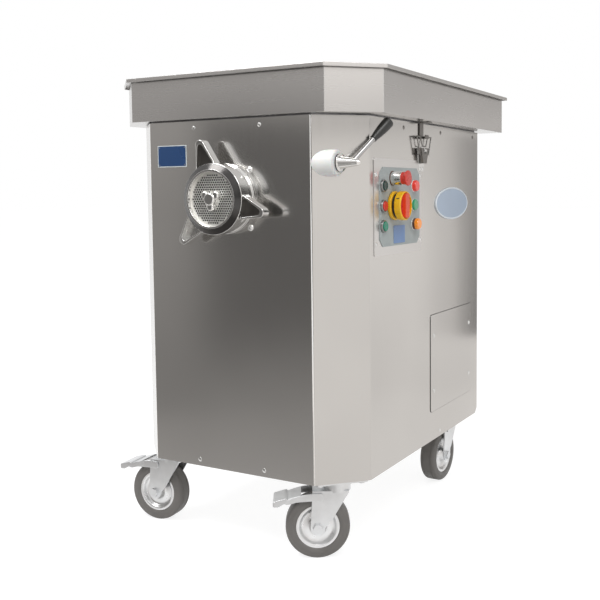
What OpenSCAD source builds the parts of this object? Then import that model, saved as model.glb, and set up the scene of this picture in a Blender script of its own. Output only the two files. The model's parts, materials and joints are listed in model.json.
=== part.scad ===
// Meat grinder for a butcher's shop: a stainless cabinet on four swivel castors,
// with a feed tray on top, a grinding head at the front and its controls on the right.
// The frame has its origin on the floor below the cabinet's centre, the head faces -Y.

/* [Cabinet] */
// Width of the cabinet, side to side
cabinet_w = 540; // [500:5:600]
// Depth of the cabinet, front to back
cabinet_d = 660; // [645:5:740]
// Height of the side panels
cabinet_h = 692; // [660:2:760]
// Size of the two slanted front corners
corner_cut = 80; // [72:1:90]
// Thickness of the panel sheet
sheet = 2; // [1.5:0.25:3]
// Bevel at the lower rear corner of each side panel
rear_bevel = 12; // [6:1:20]
// Thickness of the plate that closes the bottom
base_t = 5; // [4:0.5:8]
// Width of the frame tubes
tube_w = 25; // [20:1:30]

/* [Feed tray] */
// Height of the tray, underside to rim
tray_h = 87; // [70:1:110]
// Shadow gap between the cabinet and the tray
tray_gap = 3; // [2:0.5:6]
// How far the tray stands out at each side
tray_side = 36; // [30:1:44]
// How far the tray stands out at the front
tray_front = 11; // [6:1:20]
// How far the tray stands out at the back
tray_back = 77; // [50:1:90]
// Width of the turned-out rim
rim_w = 10; // [6:0.5:14]
// Height of the rim's turned-down lip
rim_lip = 7.5; // [5:0.5:12]
// Inner radius of the feed throat
throat_r = 48; // [42:1:48]

/* [Grinding head] */
// Distance from the top of the panels down to the head's axis
head_drop = 153; // [150:1:165]
// Radius of the worm chamber
chamber_r = 48; // [44:1:50]
// Outer radius of the barrel inside the cabinet
barrel_r = 62; // [60.5:0.5:64]
// Length of the barrel behind the cabinet's front
barrel_len = 270; // [250:2:290]
// Radius of the hole plate
plate_r = 57; // [56:0.25:57.5]
// Thickness of the hole plate
plate_t = 10; // [8:0.5:12]
// Diameter of the holes in the hole plate
plate_hole_d = 4.5; // [3:0.25:5.5]
// Distance between neighbouring holes
plate_pitch = 7; // [6.5:0.25:9]
// Outer radius of the ring nut
nut_r = 68; // [66:0.5:72]
// Radius of the ring nut's opening
opening_r = 52; // [48:0.5:54]
// Distance from the head's axis to the tip of a lug
lug_reach = 117; // [108:1:124]
// Thickness of a lug
lug_t = 20; // [14:1:22]
// Direction of the first lug, counted from the right
lug_angle = 106.5; // [90:0.5:120]
// Lead of the worm, for one turn
worm_lead = 55; // [45:1:70]
// Radius of the worm's core
worm_core_r = 18; // [16:0.5:20]

/* [Head lock] */
// Distance of the lock shaft behind the cabinet's front
lock_back = 25; // [25:0.5:28]
// Radius of the lock shaft
lock_r = 12; // [10:0.5:13]
// How deep the lock shaft bites into the barrel
lock_bite = 9; // [6:0.5:9.5]
// Radius of the white plastic bush
bush_r = 24.5; // [20:0.5:24.5]
// How far the bush stands out past the front's straight part
bush_out = 45; // [42:1:50]
// Length of the lever's conical hub
hub_len = 37; // [32:1:44]
// Length of the lever, from the shaft's axis to its tip
lever_len = 121; // [105:1:124]
// Angle of the lever above the horizontal, at rest
lever_lift = 43; // [30:1:44]
// Angle by which the lever leans outwards
lever_lean = 17; // [12:1:22]
// Largest radius of the grip
grip_r = 9; // [7.5:0.5:10]

/* [Controls] */
// Distance of the control plate's centre behind the front corner
control_back = 126; // [124:1:140]
// Distance of the control plate's centre below the top of the panels
control_drop = 176; // [165:1:190]
// Length of the outer control plate
control_w = 220; // [205:1:230]
// Height of the outer control plate
control_h = 197; // [190:1:215]
// Height between two rows of buttons
row_pitch = 39; // [37:0.5:42]
// Radius of the emergency stop's mushroom head
estop_r = 15; // [13.5:0.5:17]
// Radius of the main switch
switch_r = 28.5; // [25:0.5:30]
// Radius of a push button's collar
collar_r = 12; // [11:0.25:13]
// Length of the blue plate on the front
rating_w = 73; // [60:1:80]
// Height of the blue plate on the front
rating_h = 43; // [35:1:48]
// Length of the oval badge
badge_w = 193; // [160:1:210]
// Height of the oval badge
badge_h = 73; // [60:1:85]
// Length of the service cover
cover_w = 248; // [220:2:270]
// Height of the service cover
cover_h = 215; // [190:1:240]

/* [Tray latches] */
// Distance of the latches behind the front corner
latch_back = 236; // [226:1:250]
// Width of the wire bail at its top
bail_w = 108; // [96:1:116]
// Height of the bail, hinge pin to top bar
bail_h = 36; // [34:0.5:38]
// Radius of the bail's wire
wire_r = 1.5; // [1.25:0.05:1.75]
// Distance of the bail's pin below the lever's pivot
latch_throw = 8; // [7:0.25:9]
// Length of the latch lever below its pivot
latch_len = 27; // [24:1:32]

/* [Castors] */
// Radius of the wheels
wheel_r = 62.5; // [60:0.5:66]
// Width of the tyres
tyre_w = 37.5; // [32:0.5:40]
// Radius of the wheel rims
rim_r = 42; // [38:0.5:45]
// Distance of the wheel's axle behind the swivel
castor_trail = 38; // [34:0.5:42]
// Distance of the swivels from the cabinet's sides
castor_side = 70; // [70:1:80]
// Distance of the front swivels from the cabinet's front
castor_front = 70; // [68:1:85]
// Distance of the rear swivels from the cabinet's back
castor_rear = 44; // [43:1:60]
// Length of a castor's top plate
castor_plate_l = 105; // [96:1:106]
// Width of a castor's top plate
castor_plate_w = 83; // [76:1:84]

/* [Drive] */
// Radius of the motor
motor_r = 80; // [70:1:88]
// Room between the motor and the rear panel
motor_room = 28; // [20:1:50]
// Distance of the motor's axis below the head's axis
motor_drop = 135; // [125:1:145]
// Length of the gearbox, front to back
gearbox_len = 130; // [110:1:135]

/* [Hidden] */
$fn = 64;

// Clearances: a shaft in its bore, a loose seat, and a moving part beside its neighbour
run_gap = 0.05;
seat_gap = 0.1;
move_gap = 0.3;
// Overrun of a cutter past the face it cuts
over = 1;

// Castor heights, from the floor up: fork crown, swivel race, top plate
tyre_gap = 7;
crown_t = 3;
race_h = 8;
race_room = 10;
castor_plate_t = 3;
crown_z = 2 * wheel_r + tyre_gap;
race_z = crown_z + crown_t + race_h;
castor_plate_z = race_z + race_room;

// Main planes of the cabinet
bottom_z = castor_plate_z + castor_plate_t;
top_z = bottom_z + cabinet_h;
tray_z = top_z + tray_gap;
side_x = cabinet_w / 2;
front_y = -cabinet_d / 2;
rear_y = cabinet_d / 2;
fold_y = front_y + corner_cut;
flat_x = side_x - corner_cut;
head_z = top_z - head_drop;
bevel_y = rear_y - rear_bevel - sqrt(2) * sheet;
// Inset corners: how far a slanted corner moves along its side for each unit of inset
corner_share = tan(22.5);

// Frame of tubes inside the cabinet
frame_x = side_x - sheet;
frame_z = bottom_z + base_t;
seat_inset = 6;
seat_w = 21;

// Panel rivets, counted from the upper and lower edges of the panels
rivet_edge = 13;
rivet_r = 2;
rivet_head_r = 4.5;
rivet_head_h = 1.6;
front_rivet_x = 78;
side_rivet_backs = [232, 425];
last_rivet_in = 35;
low_rivet_back = 421;
side_rivet_ys = [front_y + side_rivet_backs[0], front_y + side_rivet_backs[1], rear_y - last_rivet_in];
low_rivet_y = front_y + low_rivet_back;
screw_r = 2.5;
screw_head_r = 5;
screw_head_h = 2.5;

// Rear panel: cooling slots beside the motor, and the cable gland low down
slot_w = 120;
slot_h = 6;
slot_pitch = 18;
slot_count = 8;
slot_rise = 346;
slot_z = bottom_z + slot_rise;
gland_x = -150;
gland_rise = 74;
gland_z = bottom_z + gland_rise;
gland_out = 26;
gland_in = 14;
gland_r = 13;
gland_bore_r = 6.5;
gland_thread_r = 9;
gland_nut_t = 6;

// Feed throat under the tray
feed_back = 180;
feed_y = front_y + feed_back;
throat_wall = 2;
throat_len = 45;
feed_neck_bore_r = throat_r + 2 * throat_wall;
feed_neck_wall = 8;
feed_neck_gap = 13;

// Head lengths, counted outwards from the cabinet's front
flange_t = 6;
neck_step = 3;
neck_r = barrel_r + neck_step;
neck_end = 22;
thread_step = 2;
thread_r = barrel_r - thread_step;
seat_z = 26;
knife_z = 28;
knife_t = 10;
knife_slack = 0.5;
plate_z = knife_z + knife_t + knife_slack;
plate_end = plate_z + plate_t;
plate_stand = 2.5;
thread_end = plate_end - plate_stand;
lip_z = plate_end + move_gap + seat_gap;
lip_t = 5;
nut_end = lip_z + lip_t;
nut_start = neck_end + 2 * move_gap;
nut_edge = 2;
nut_bore_r = thread_r + move_gap;
face_bevel = 6;
face_r = nut_r - face_bevel;
lug_inset = 1.5;
lug_z = nut_start + lug_inset;
lug_sink = 5;
lug_root_r = nut_r - lug_sink;
lug_root_w = 24;
lug_tip_r = 10;
lug_rim = 3.5;
lug_pocket = 14;

// Head housing behind the front, and the four bolts that carry it
housing_wall = 12;
housing_r = barrel_r + housing_wall;
housing_extra = 40;
housing_len = barrel_len + housing_extra;
housing_flange_r = 90;
housing_flange_t = 12;
head_bolt_out = 10;
head_bolt_pitch_r = nut_r + head_bolt_out;
head_bolt_r = 4;
head_bolt_head_r = 7;
head_bolt_head_h = 5;
gearbox_y = front_y + housing_len;

// Worm, knife, hole plate and shaft nut
rear_wall_t = 20;
worm_gap = 0.5;
flight_r = chamber_r - worm_gap;
flight_root_t = 8;
flight_tip_t = 4;
flight_sink = 3;
flight_sides = 24;
stub_r = 10;
square_w = 22;
journal_r = 16;
bush_wall = 6;
tongue_w = 20;
tongue_t = 9;
tongue_len = 18;
knife_short = 7;
knife_r = plate_r - knife_short;
knife_hub_r = 19;
blade_w = 8;
blade_tip_w = 5;
field_in_r = 24;
field_edge = 6;
field_out_r = opening_r - field_edge;
nut_lobe_r = 8.5;
nut_lobe_out = 13;
nut_hub_r = 13.5;
nut_lobe_t = 8;
nut_hub_t = 10;

// Drive behind the worm
hub_r = 24;
hub_gap = 2;
drive_r = 20;
drive_len = 60;
gearbox_wall = 15;
gearbox_r = motor_r + gearbox_wall;
gearbox_foot_x = 60;
gearbox_foot_h = 30;
motor_z = head_z - motor_drop;
stand_z = motor_z - gearbox_r;
stand_t = 8;
motor_len = rear_y - sheet - motor_room - gearbox_y - gearbox_len;
fin_t = 3;
fin_h = 8;
fin_count = 24;
fan_cover_len = 45;
motor_flange_t = 12;
terminal_w = 84;
terminal_l = 76;
terminal_h = 34;

// Head lock: shaft, bush, washer, conical hub and lever
lock_y = front_y + lock_back;
lock_rise = barrel_r + lock_r - lock_bite;
lock_z = head_z + lock_rise;
lock_room = 0.8;
lock_boss_x = 50;
lock_boss_rim = 8;
bush_end = flat_x + bush_out;
bush_step = 6;
bush_shank_r = bush_r - bush_step;
bush_shank_len = 40;
washer_step = 4;
washer_r = lock_r + washer_step;
washer_t = 3;
cone_x = bush_end + move_gap + washer_t;
cone_tip_r = lock_r / 2;
cap_t = 4;
arm_share = 0.65;
arm_x = cone_x + arm_share * hub_len;
arm_r = 4.7;
ferrule_r = 5.6;
ferrule_len = 3;
grip_share = 0.55;
grip_start = grip_share * lever_len;
grip_len = lever_len - grip_start;
grip_neck_r = 6;

// Controls, counted from the centre of the control plate
control_y = fold_y + control_back;
control_z = top_z - control_drop;
plate_sheet = 1.5;
plate_corner = 5;
panel_sheet = 1.5;
face_x = plate_sheet + panel_sheet;
panel_shift = 4;
panel_trim_w = 34;
panel_trim_h = 33;
panel_w = control_w - panel_trim_w;
panel_h = control_h - panel_trim_h;
panel_cut = 14;
left_column = -76;
right_column = 66;
row_lift = 7;
estop_y = -33;
estop_z = 60.5;
switch_y = -29;
info_y = -3.5;
info_z = -50;
info_w = 51;
info_h = 35;
info_t = 1;
plate_screw_in = 7.5;
plate_screw_low = 32;
plate_screw_y = control_w / 2 - plate_screw_in;
plate_screw_z = control_h / 2 - plate_screw_low;
stem_r = 4;
stem_len = 14;
cap_step = 2.8;
cap_r = collar_r - cap_step;
cap_out = 7.5;
collar_out = 5;
cap_travel = 3;
lamp_base = 2;
lamp_step = 0.4;
lamp_r = collar_r - lamp_step;
lamp_red_out = 10;
lamp_green_out = 7;
lamp_orange_out = 14.6;
sleeve_step = 1.7;
sleeve_r = estop_r - sleeve_step;
sleeve_wall = 1.5;
sleeve_out = 26;
estop_travel = 5;
estop_out = 36;
switch_base_t = 9;
switch_step = 3.5;
switch_neck_r = switch_r - switch_step;
switch_neck_t = 6;
switch_drum_t = 13;
switch_rim = 3;
switch_recess = 8;
switch_grip_share = 0.63;
switch_grip_w = switch_grip_share * switch_r;
switch_grip_out = 3;
rating_x = -133;
rating_drop = 67.5;
rating_z = top_z - rating_drop;
plaque_t = 1;
badge_place_share = 0.506;
control_end = control_y + control_w / 2;
badge_y = control_end + badge_place_share * (rear_y - control_end);
badge_drop = 169;
badge_z = top_z - badge_drop;
badge_t = 3;
cover_ahead = 169;
cover_rise = 172.5;
cover_y = rear_y - cover_ahead;
cover_z = bottom_z + cover_rise;
cover_t = 1.5;
cover_corner = 6;
cover_screw_in = 17;
cover_screw_low = 46;
cover_screw_y = cover_w / 2 - cover_screw_in;
cover_screw_z = cover_h / 2 - cover_screw_low;

// Tray latches, counted outwards from the side panels
latch_y = fold_y + latch_back;
bar_drop = 31;
bar_z = tray_z - bar_drop;
pin_z = bar_z - bail_h;
pivot_z = pin_z + latch_throw;
pin_out = 8;
pin_r = 2;
strap_x = 1;
strap_t = 2;
strap_w = 18;
strap_foot = 22;
trough_w = 5;
trough_lip = 4;
base_w = 28;
base_sheet = 2;
base_low = 44;
base_high = 8;
lug_w = 11.4;
lug_round = 4.5;
lever_t = 5;
lever_top = 5;
lever_half = 27;
lever_end_half = 9;
slot_half = lug_w / 2 + move_gap;
slot_low = 6;
leg_half = 33;
loop_half = 26;
loop_low_half = 10;
loop_rise = 16.5;
bail_in = 12;
leg_share = 0.92;
thin_r = 0.8 * wire_r;

// Castors, in a frame whose +X trails behind the swivel
castor_turns = [211.6, 186.9, 267.5, 250];
castor_x = side_x - castor_side;
castor_spots = [[castor_x, front_y + castor_front], [-castor_x, front_y + castor_front],
    [castor_x, rear_y - castor_rear], [-castor_x, rear_y - castor_rear]];
plate_turns = [45, -45, 0, 0];
kingpin_r = 6;
kingpin_nut_r = 10;
kingpin_nut_t = 4.7;
race_r = 27;
top_race_r = 29;
castor_bolt_r = 6;
castor_bolt_t = 4;
castor_bolt_in = 11;
fork_room = 3.25;
fork_in = tyre_w / 2 + fork_room;
fork_out = fork_in + crown_t;
crown_lead = 22;
crown_tail = 48;
knee_lead = 29;
knee_x = castor_trail - knee_lead;
knee_rise = 18.5;
boss_r = 14;
axle_r = 6;
axle_head_r = 9.5;
axle_head_t = 6;
tyre_bevel = 6;
tread_w = tyre_w - 2 * tyre_bevel;
shoulder_r = 4.5;
rim_wall = 5;
web_t = 6;
web_in = 4;
rim_hub_r = 15;
pedal_lead = 4;
pedal_drop = 11;
pedal_pivot_x = castor_trail - pedal_lead;
pedal_pivot_z = crown_z - pedal_drop;
pedal_pin_r = 3;
pedal_arm_t = 2.5;
pedal_arm_h = 9;
pedal_bar_back = 38;
pedal_bar_x = castor_trail + pedal_bar_back;
pedal_bar_w = 8;
pedal_bar_t = 5;
pedal_cap_lap = 2.5;
pedal_cap_x = castor_trail + wheel_r - pedal_cap_lap;
pedal_cap_len = 26;
pedal_cap_half = 28;
pedal_cap_drop = 28;
pedal_cap_z = crown_z - pedal_cap_drop;
pedal_cap_h = 22;
pedal_cap_t = 5;

// Outline of the cabinet or the tray seen from above, drawn in by an inset
function plan(i, side, near, far) = [
    [-side + i, far - i],
    [-side + i, near + corner_cut + corner_share * i],
    [-side + corner_cut + corner_share * i, near + i],
    [side - corner_cut - corner_share * i, near + i],
    [side - i, near + corner_cut + corner_share * i],
    [side - i, far - i]];
function cabinet_plan(i, far) = plan(i, side_x, front_y, far + i);
function tray_plan(i) = plan(i, side_x + tray_side, front_y - tray_front, rear_y + tray_back);

// Frame of the head: x to the right, y upwards, z out of the front
module head_frame() translate([0, front_y, head_z]) rotate([90, 0, 0]) children();

// Frame of the right side: x to the back, y upwards, z out of the side
module side_frame(y, z) translate([side_x, y, z]) rotate([90, 0, 90]) children();

// Frame of the rear panel seen from behind: x to its right, y upwards, z out of the back
module rear_frame(x, z) translate([x, rear_y, z]) rotate([90, 0, 180]) children();

// Both sides, or one of them: 1 is the right side and -1 the left
module on_side(s) mirror([s < 0 ? 1 : 0, 0, 0]) children();

// Frame of one castor, turned so that +X trails
module castor_frame(i) translate([castor_spots[i][0], castor_spots[i][1], 0])
    rotate([0, 0, castor_turns[i]]) children();

module tube(r_out, r_in, h) difference() {
    cylinder(r = r_out, h = h);
    translate([0, 0, -over]) cylinder(r = r_in, h = h + 2 * over);
}

// Domed head of a screw or rivet, with its shank behind it
module fastener(head_r, head_h, shank_r, depth) {
    ball_r = (head_r * head_r + head_h * head_h) / (2 * head_h);
    intersection() {
        cylinder(r = head_r, h = head_h);
        translate([0, 0, head_h - ball_r]) sphere(r = ball_r);
    }
    translate([0, 0, -depth]) cylinder(r = shank_r, h = depth + head_h / 2);
}

// Straight wire from the middle of one wire to the middle of another
module strut(a, b, r) {
    d = b - a;
    translate(a) rotate([0, 90, atan2(d[1], d[0])]) cylinder(r = r, h = norm(d));
}

module rounded(w, h, r) {
    square([w - 2 * r, h], center = true);
    square([w, h - 2 * r], center = true);
    for (x = [-1, 1], y = [-1, 1]) translate([x * (w / 2 - r), y * (h / 2 - r)]) circle(r = r);
}

module cut_corners(w, h, c) polygon([[-w / 2 + c, -h / 2], [w / 2 - c, -h / 2],
    [w / 2, -h / 2 + c], [w / 2, h / 2 - c], [w / 2 - c, h / 2], [-w / 2 + c, h / 2],
    [-w / 2, h / 2 - c], [-w / 2, -h / 2 + c]]);

// Places of the rivets and screws, used for the fasteners and for their holes
module at_front_rivets() for (x = [-front_rivet_x, front_rivet_x], low = [0, 1])
    translate([x, front_y, low ? bottom_z + rivet_edge : top_z - rivet_edge])
        rotate([90, 0, 0]) children();

module at_side_rivets() {
    for (y = side_rivet_ys) side_frame(y, top_z - rivet_edge) children();
    side_frame(low_rivet_y, bottom_z + rivet_edge) children();
}

module at_rear_screws() for (x = [-1, 1], low = [0, 1])
    rear_frame(x * (frame_x - rivet_edge), low ? bottom_z + 3 * rivet_edge : top_z - rivet_edge)
        children();

module at_head_bolts() head_frame() for (a = [45:90:315])
    rotate([0, 0, a]) translate([head_bolt_pitch_r, 0, 0]) children();

module at_cover_screws() for (y = [-1, 1], z = [-1, 1])
    side_frame(cover_y + y * cover_screw_y, cover_z + z * cover_screw_z) children();

module at_plate_screws() for (y = [-1, 1], z = [-1, 1])
    side_frame(control_y + y * plate_screw_y, control_z + z * plate_screw_z) children();

module at_control(y, z) side_frame(control_y + y, control_z + z) children();

module at_row(column, row) at_control(column, row_lift + row * row_pitch) children();

module button_holes(r) for (row = [-1, 0, 1]) at_row(left_column, row)
    translate([0, 0, -sheet - over]) cylinder(r = r, h = face_x + sheet + 2 * over);

module control_holes() {
    button_holes(stem_r + move_gap);
    at_control(estop_y, estop_z) translate([0, 0, -sheet - over])
        cylinder(r = stem_r + move_gap, h = face_x + sheet + 2 * over);
}

// Cabinet: sheet-metal panels on a welded frame of tubes
module base_plate() color("silver") translate([0, 0, bottom_z])
    linear_extrude(base_t) polygon(cabinet_plan(sheet, bevel_y));

module frame_ring(far) difference() {
    polygon(cabinet_plan(sheet, far));
    polygon(cabinet_plan(sheet + tube_w, far - tube_w));
}

module chassis() color("darkgray") {
    rail_ys = [gearbox_y, gearbox_y + gearbox_len - tube_w];
    leg_x = gearbox_r - tube_w;
    translate([0, 0, frame_z]) linear_extrude(tube_w) frame_ring(bevel_y);
    translate([0, 0, top_z - tube_w]) linear_extrude(tube_w) frame_ring(rear_y - sheet);
    translate([0, 0, top_z]) linear_extrude(tray_gap) difference() {
        polygon(cabinet_plan(seat_inset, rear_y - seat_inset));
        polygon(cabinet_plan(seat_inset + seat_w, rear_y - seat_inset - seat_w));
    }
    for (x = [-frame_x, frame_x - tube_w], y = [fold_y, rear_y - sheet - tube_w])
        translate([x, y, frame_z + tube_w])
            cube([tube_w, tube_w, top_z - frame_z - tube_w]);
    for (y = rail_ys) {
        translate([-frame_x, y, frame_z]) cube([2 * frame_x, tube_w, tube_w]);
        for (x = [-gearbox_r, leg_x]) translate([x, y, frame_z])
            cube([tube_w, tube_w, stand_z - stand_t - frame_z]);
    }
    translate([-gearbox_r, gearbox_y, stand_z - stand_t])
        cube([2 * gearbox_r, gearbox_len, stand_t]);
}

module front_casing() color("gainsboro") difference() {
    translate([0, 0, bottom_z]) linear_extrude(cabinet_h) difference() {
        polygon(cabinet_plan(0, rear_y));
        polygon(cabinet_plan(sheet, rear_y - sheet));
        translate([-side_x - over, fold_y]) square([cabinet_w + 2 * over, cabinet_d]);
    }
    head_frame() translate([0, 0, -sheet - over])
        cylinder(r = barrel_r + seat_gap, h = sheet + 2 * over);
    at_head_bolts() translate([0, 0, -sheet - over])
        cylinder(r = head_bolt_r + seat_gap, h = sheet + 2 * over);
    at_front_rivets() translate([0, 0, -sheet - over])
        cylinder(r = rivet_r + seat_gap, h = sheet + 2 * over);
    translate([flat_x - seat_gap, lock_y, lock_z]) rotate([0, 90, 0])
        cylinder(r = bush_r + seat_gap, h = corner_cut);
}

module side_sheet() side_frame(0, 0) translate([0, 0, -sheet]) linear_extrude(sheet)
    polygon([[fold_y, bottom_z], [rear_y - rear_bevel, bottom_z],
        [rear_y, bottom_z + rear_bevel], [rear_y, top_z], [fold_y, top_z]]);

module side_rivet_holes() at_side_rivets() translate([0, 0, -sheet - over])
    cylinder(r = rivet_r + seat_gap, h = sheet + 2 * over);

module right_panel() color("lightgray") difference() {
    side_sheet();
    side_rivet_holes();
    control_holes();
}

module left_panel() color("lightgray") on_side(-1) difference() {
    side_sheet();
    side_rivet_holes();
}

module rear_panel() color("silver") difference() {
    translate([-frame_x, 0, 0]) rotate([90, 0, 90]) linear_extrude(2 * frame_x)
        polygon([[rear_y, top_z], [rear_y - sheet, top_z],
            [rear_y - sheet, bottom_z + rear_bevel + corner_share * sheet],
            [bevel_y, bottom_z], [rear_y - rear_bevel, bottom_z], [rear_y, bottom_z + rear_bevel]]);
    for (i = [0:slot_count - 1]) rear_frame(0, slot_z + i * slot_pitch)
        translate([-slot_w / 2, 0, -sheet - over]) cube([slot_w, slot_h, sheet + 2 * over]);
    rear_frame(gland_x, gland_z) translate([0, 0, -sheet - over])
        cylinder(r = gland_thread_r + seat_gap, h = sheet + 2 * over);
    at_rear_screws() translate([0, 0, -sheet - over])
        cylinder(r = rivet_r + seat_gap, h = sheet + 2 * over);
}

module service_cover() color("lightgray") difference() {
    side_frame(cover_y, cover_z) linear_extrude(cover_t) rounded(cover_w, cover_h, cover_corner);
    at_cover_screws() translate([0, 0, -over])
        cylinder(r = screw_r + seat_gap, h = cover_t + 2 * over);
}

module panel_fasteners() color("silver") {
    at_front_rivets() fastener(rivet_head_r, rivet_head_h, rivet_r, sheet);
    for (s = [-1, 1]) on_side(s) at_side_rivets()
        fastener(rivet_head_r, rivet_head_h, rivet_r, sheet);
    at_rear_screws() fastener(rivet_head_r, rivet_head_h, rivet_r, sheet);
    at_head_bolts()
        fastener(head_bolt_head_r, head_bolt_head_h, head_bolt_r, sheet + housing_flange_t);
    at_cover_screws() translate([0, 0, cover_t])
        fastener(screw_head_r, screw_head_h, screw_r, cover_t);
    at_plate_screws() translate([0, 0, plate_sheet])
        fastener(screw_head_r, screw_head_h, screw_r, plate_sheet);
}

// Feed tray: a flat floor with a throat, straight walls and a turned-out rim
module tray() color("gainsboro") {
    rim_z = tray_z + tray_h;
    difference() {
        union() {
            translate([0, 0, tray_z]) linear_extrude(sheet) polygon(tray_plan(0));
            translate([0, feed_y, tray_z - throat_len])
                cylinder(r = throat_r + throat_wall, h = throat_len);
        }
        translate([0, feed_y, tray_z - throat_len - over])
            cylinder(r = throat_r, h = throat_len + sheet + 2 * over);
    }
    translate([0, 0, tray_z]) linear_extrude(tray_h) difference() {
        polygon(tray_plan(0));
        polygon(tray_plan(sheet));
    }
    translate([0, 0, rim_z - sheet]) linear_extrude(sheet) difference() {
        polygon(tray_plan(-rim_w));
        polygon(tray_plan(0));
    }
    translate([0, 0, rim_z - rim_lip]) linear_extrude(rim_lip) difference() {
        polygon(tray_plan(-rim_w));
        polygon(tray_plan(sheet - rim_w));
    }
}

// Grinding head: a fixed housing inside the front, and a barrel locked into it
module head_housing() color("gray") difference() {
    union() {
        head_frame() {
            translate([0, 0, -housing_len]) cylinder(r = housing_r, h = housing_len - sheet);
            for (z = [-housing_len, -sheet - housing_flange_t]) translate([0, 0, z])
                cylinder(r = housing_flange_r, h = housing_flange_t);
            translate([-lock_boss_x, lock_rise - lock_r - lock_boss_rim,
                -lock_back - lock_r - lock_boss_rim])
                cube([2 * lock_boss_x, 2 * (lock_r + lock_boss_rim),
                    2 * (lock_r + lock_boss_rim)]);
        }
        translate([0, feed_y, head_z]) cylinder(r = feed_neck_bore_r + feed_neck_wall,
            h = head_drop - feed_neck_gap);
    }
    head_frame() translate([0, 0, -housing_len - over])
        cylinder(r = barrel_r + seat_gap, h = housing_len + 2 * over);
    translate([0, feed_y, head_z]) cylinder(r = feed_neck_bore_r, h = head_drop);
    translate([-lock_boss_x - over, lock_y, lock_z]) rotate([0, 90, 0])
        cylinder(r = lock_r + move_gap, h = lock_boss_x + housing_flange_r + 2 * over);
    at_head_bolts() translate([0, 0, -sheet - housing_flange_t - over])
        cylinder(r = head_bolt_r + seat_gap, h = housing_flange_t + 2 * over);
}

module barrel() color("whitesmoke") difference() {
    head_frame() {
        translate([0, 0, -barrel_len]) cylinder(r = barrel_r, h = barrel_len);
        cylinder(r = nut_r, h = flange_t);
        translate([0, 0, flange_t]) cylinder(r = neck_r, h = neck_end - flange_t);
        translate([0, 0, neck_end]) cylinder(r = thread_r, h = thread_end - neck_end);
    }
    head_frame() {
        translate([0, 0, rear_wall_t - barrel_len])
            cylinder(r = chamber_r, h = barrel_len - rear_wall_t + seat_z);
        translate([0, 0, seat_z]) cylinder(r = plate_r + seat_gap, h = thread_end);
        translate([0, 0, -barrel_len - over])
            cylinder(r = journal_r + bush_wall, h = rear_wall_t + 2 * over);
    }
    translate([0, feed_y, head_z]) cylinder(r = throat_r, h = housing_r);
    translate([-lock_boss_x, lock_y, lock_z]) rotate([0, 90, 0])
        cylinder(r = lock_r + move_gap, h = 2 * lock_boss_x);
}

module hole_plate() color("darkgray") head_frame() translate([0, 0, plate_z]) {
    rows = ceil(field_out_r / plate_pitch) + 1;
    hole_r = plate_hole_d / 2;
    linear_extrude(plate_t) difference() {
        circle(r = plate_r);
        circle(r = stub_r);
        for (i = [-2 * rows:2 * rows], j = [-rows:rows]) {
            spot = [plate_pitch * (i + j / 2), plate_pitch * j * sin(60)];
            if (norm(spot) > field_in_r && norm(spot) < field_out_r - hole_r)
                translate(spot) circle(r = hole_r, $fn = 16);
        }
    }
}

module worm_bush() color("goldenrod") head_frame() translate([0, 0, -barrel_len])
    tube(journal_r + bush_wall, journal_r, rear_wall_t);

// One helical flight round the core, as a strip of four-sided rings
module flight(start, end) {
    count = round(flight_sides * (end - start) / worm_lead);
    root = worm_core_r - flight_sink;
    ring = [[root, -flight_root_t / 2], [flight_r, -flight_tip_t / 2],
        [flight_r, flight_tip_t / 2], [root, flight_root_t / 2]];
    points = [for (k = [0:count], p = ring) let (a = 360 * k / flight_sides)
        [p[0] * cos(a), p[0] * sin(a), start + worm_lead * k / flight_sides + p[1]]];
    sides = [for (k = [0:count - 1], j = [0:3])
        let (a = 4 * k + j, b = 4 * k + (j + 1) % 4) each [[a, b, b + 4], [a, b + 4, a + 4]]];
    polyhedron(points, concat(sides, [[0, 3, 2], [0, 2, 1],
        [4 * count, 4 * count + 1, 4 * count + 2], [4 * count, 4 * count + 2, 4 * count + 3]]));
}

module worm() color("lightsteelblue") head_frame() {
    back = rear_wall_t - barrel_len;
    front = knife_z - over;
    translate([0, 0, back]) cylinder(r = worm_core_r, h = front - back);
    flight(back + flight_root_t / 2 + move_gap, front - flight_root_t / 2);
    translate([0, 0, -barrel_len]) cylinder(r = journal_r - run_gap, h = rear_wall_t + over);
    translate([-tongue_w / 2, -tongue_t / 2, -barrel_len - tongue_len])
        cube([tongue_w, tongue_t, tongue_len + over]);
    translate([-square_w / 2, -square_w / 2, front - over])
        cube([square_w, square_w, knife_z + knife_t - front + over]);
    translate([0, 0, knife_z]) cylinder(r = stub_r - run_gap,
        h = lip_z + nut_hub_t - nut_hub_t / 4 - knife_z);
}

module knife() color("silver") head_frame() translate([0, 0, knife_z])
    linear_extrude(knife_t) difference() {
        union() {
            circle(r = knife_hub_r);
            for (a = [0:90:270]) rotate([0, 0, a]) polygon([[0, -blade_w], [knife_r, -blade_w],
                [knife_r, blade_tip_w - blade_w], [0, blade_w]]);
        }
        square(square_w + 2 * seat_gap, center = true);
    }

module shaft_nut() color("lightgray") head_frame() translate([0, 0, lip_z]) difference() {
    union() {
        cylinder(r = nut_hub_r, h = nut_hub_t);
        for (a = [90:120:330]) rotate([0, 0, a]) translate([nut_lobe_out, 0, 0])
            cylinder(r = nut_lobe_r, h = nut_lobe_t);
    }
    translate([0, 0, -over]) cylinder(r = stub_r, h = nut_hub_t - nut_hub_t / 4 + over);
}

module drive_shaft() color("gray") head_frame() difference() {
    union() {
        translate([0, 0, -housing_len + housing_flange_t - hub_gap])
            cylinder(r = hub_r, h = housing_len - housing_flange_t - barrel_len);
        translate([0, 0, -housing_len - drive_len])
            cylinder(r = drive_r, h = drive_len + housing_flange_t);
    }
    translate([-hub_r - over, -tongue_t / 2 - move_gap, -barrel_len - tongue_len - move_gap])
        cube([2 * (hub_r + over), tongue_t + 2 * move_gap, tongue_len + over]);
}

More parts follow.
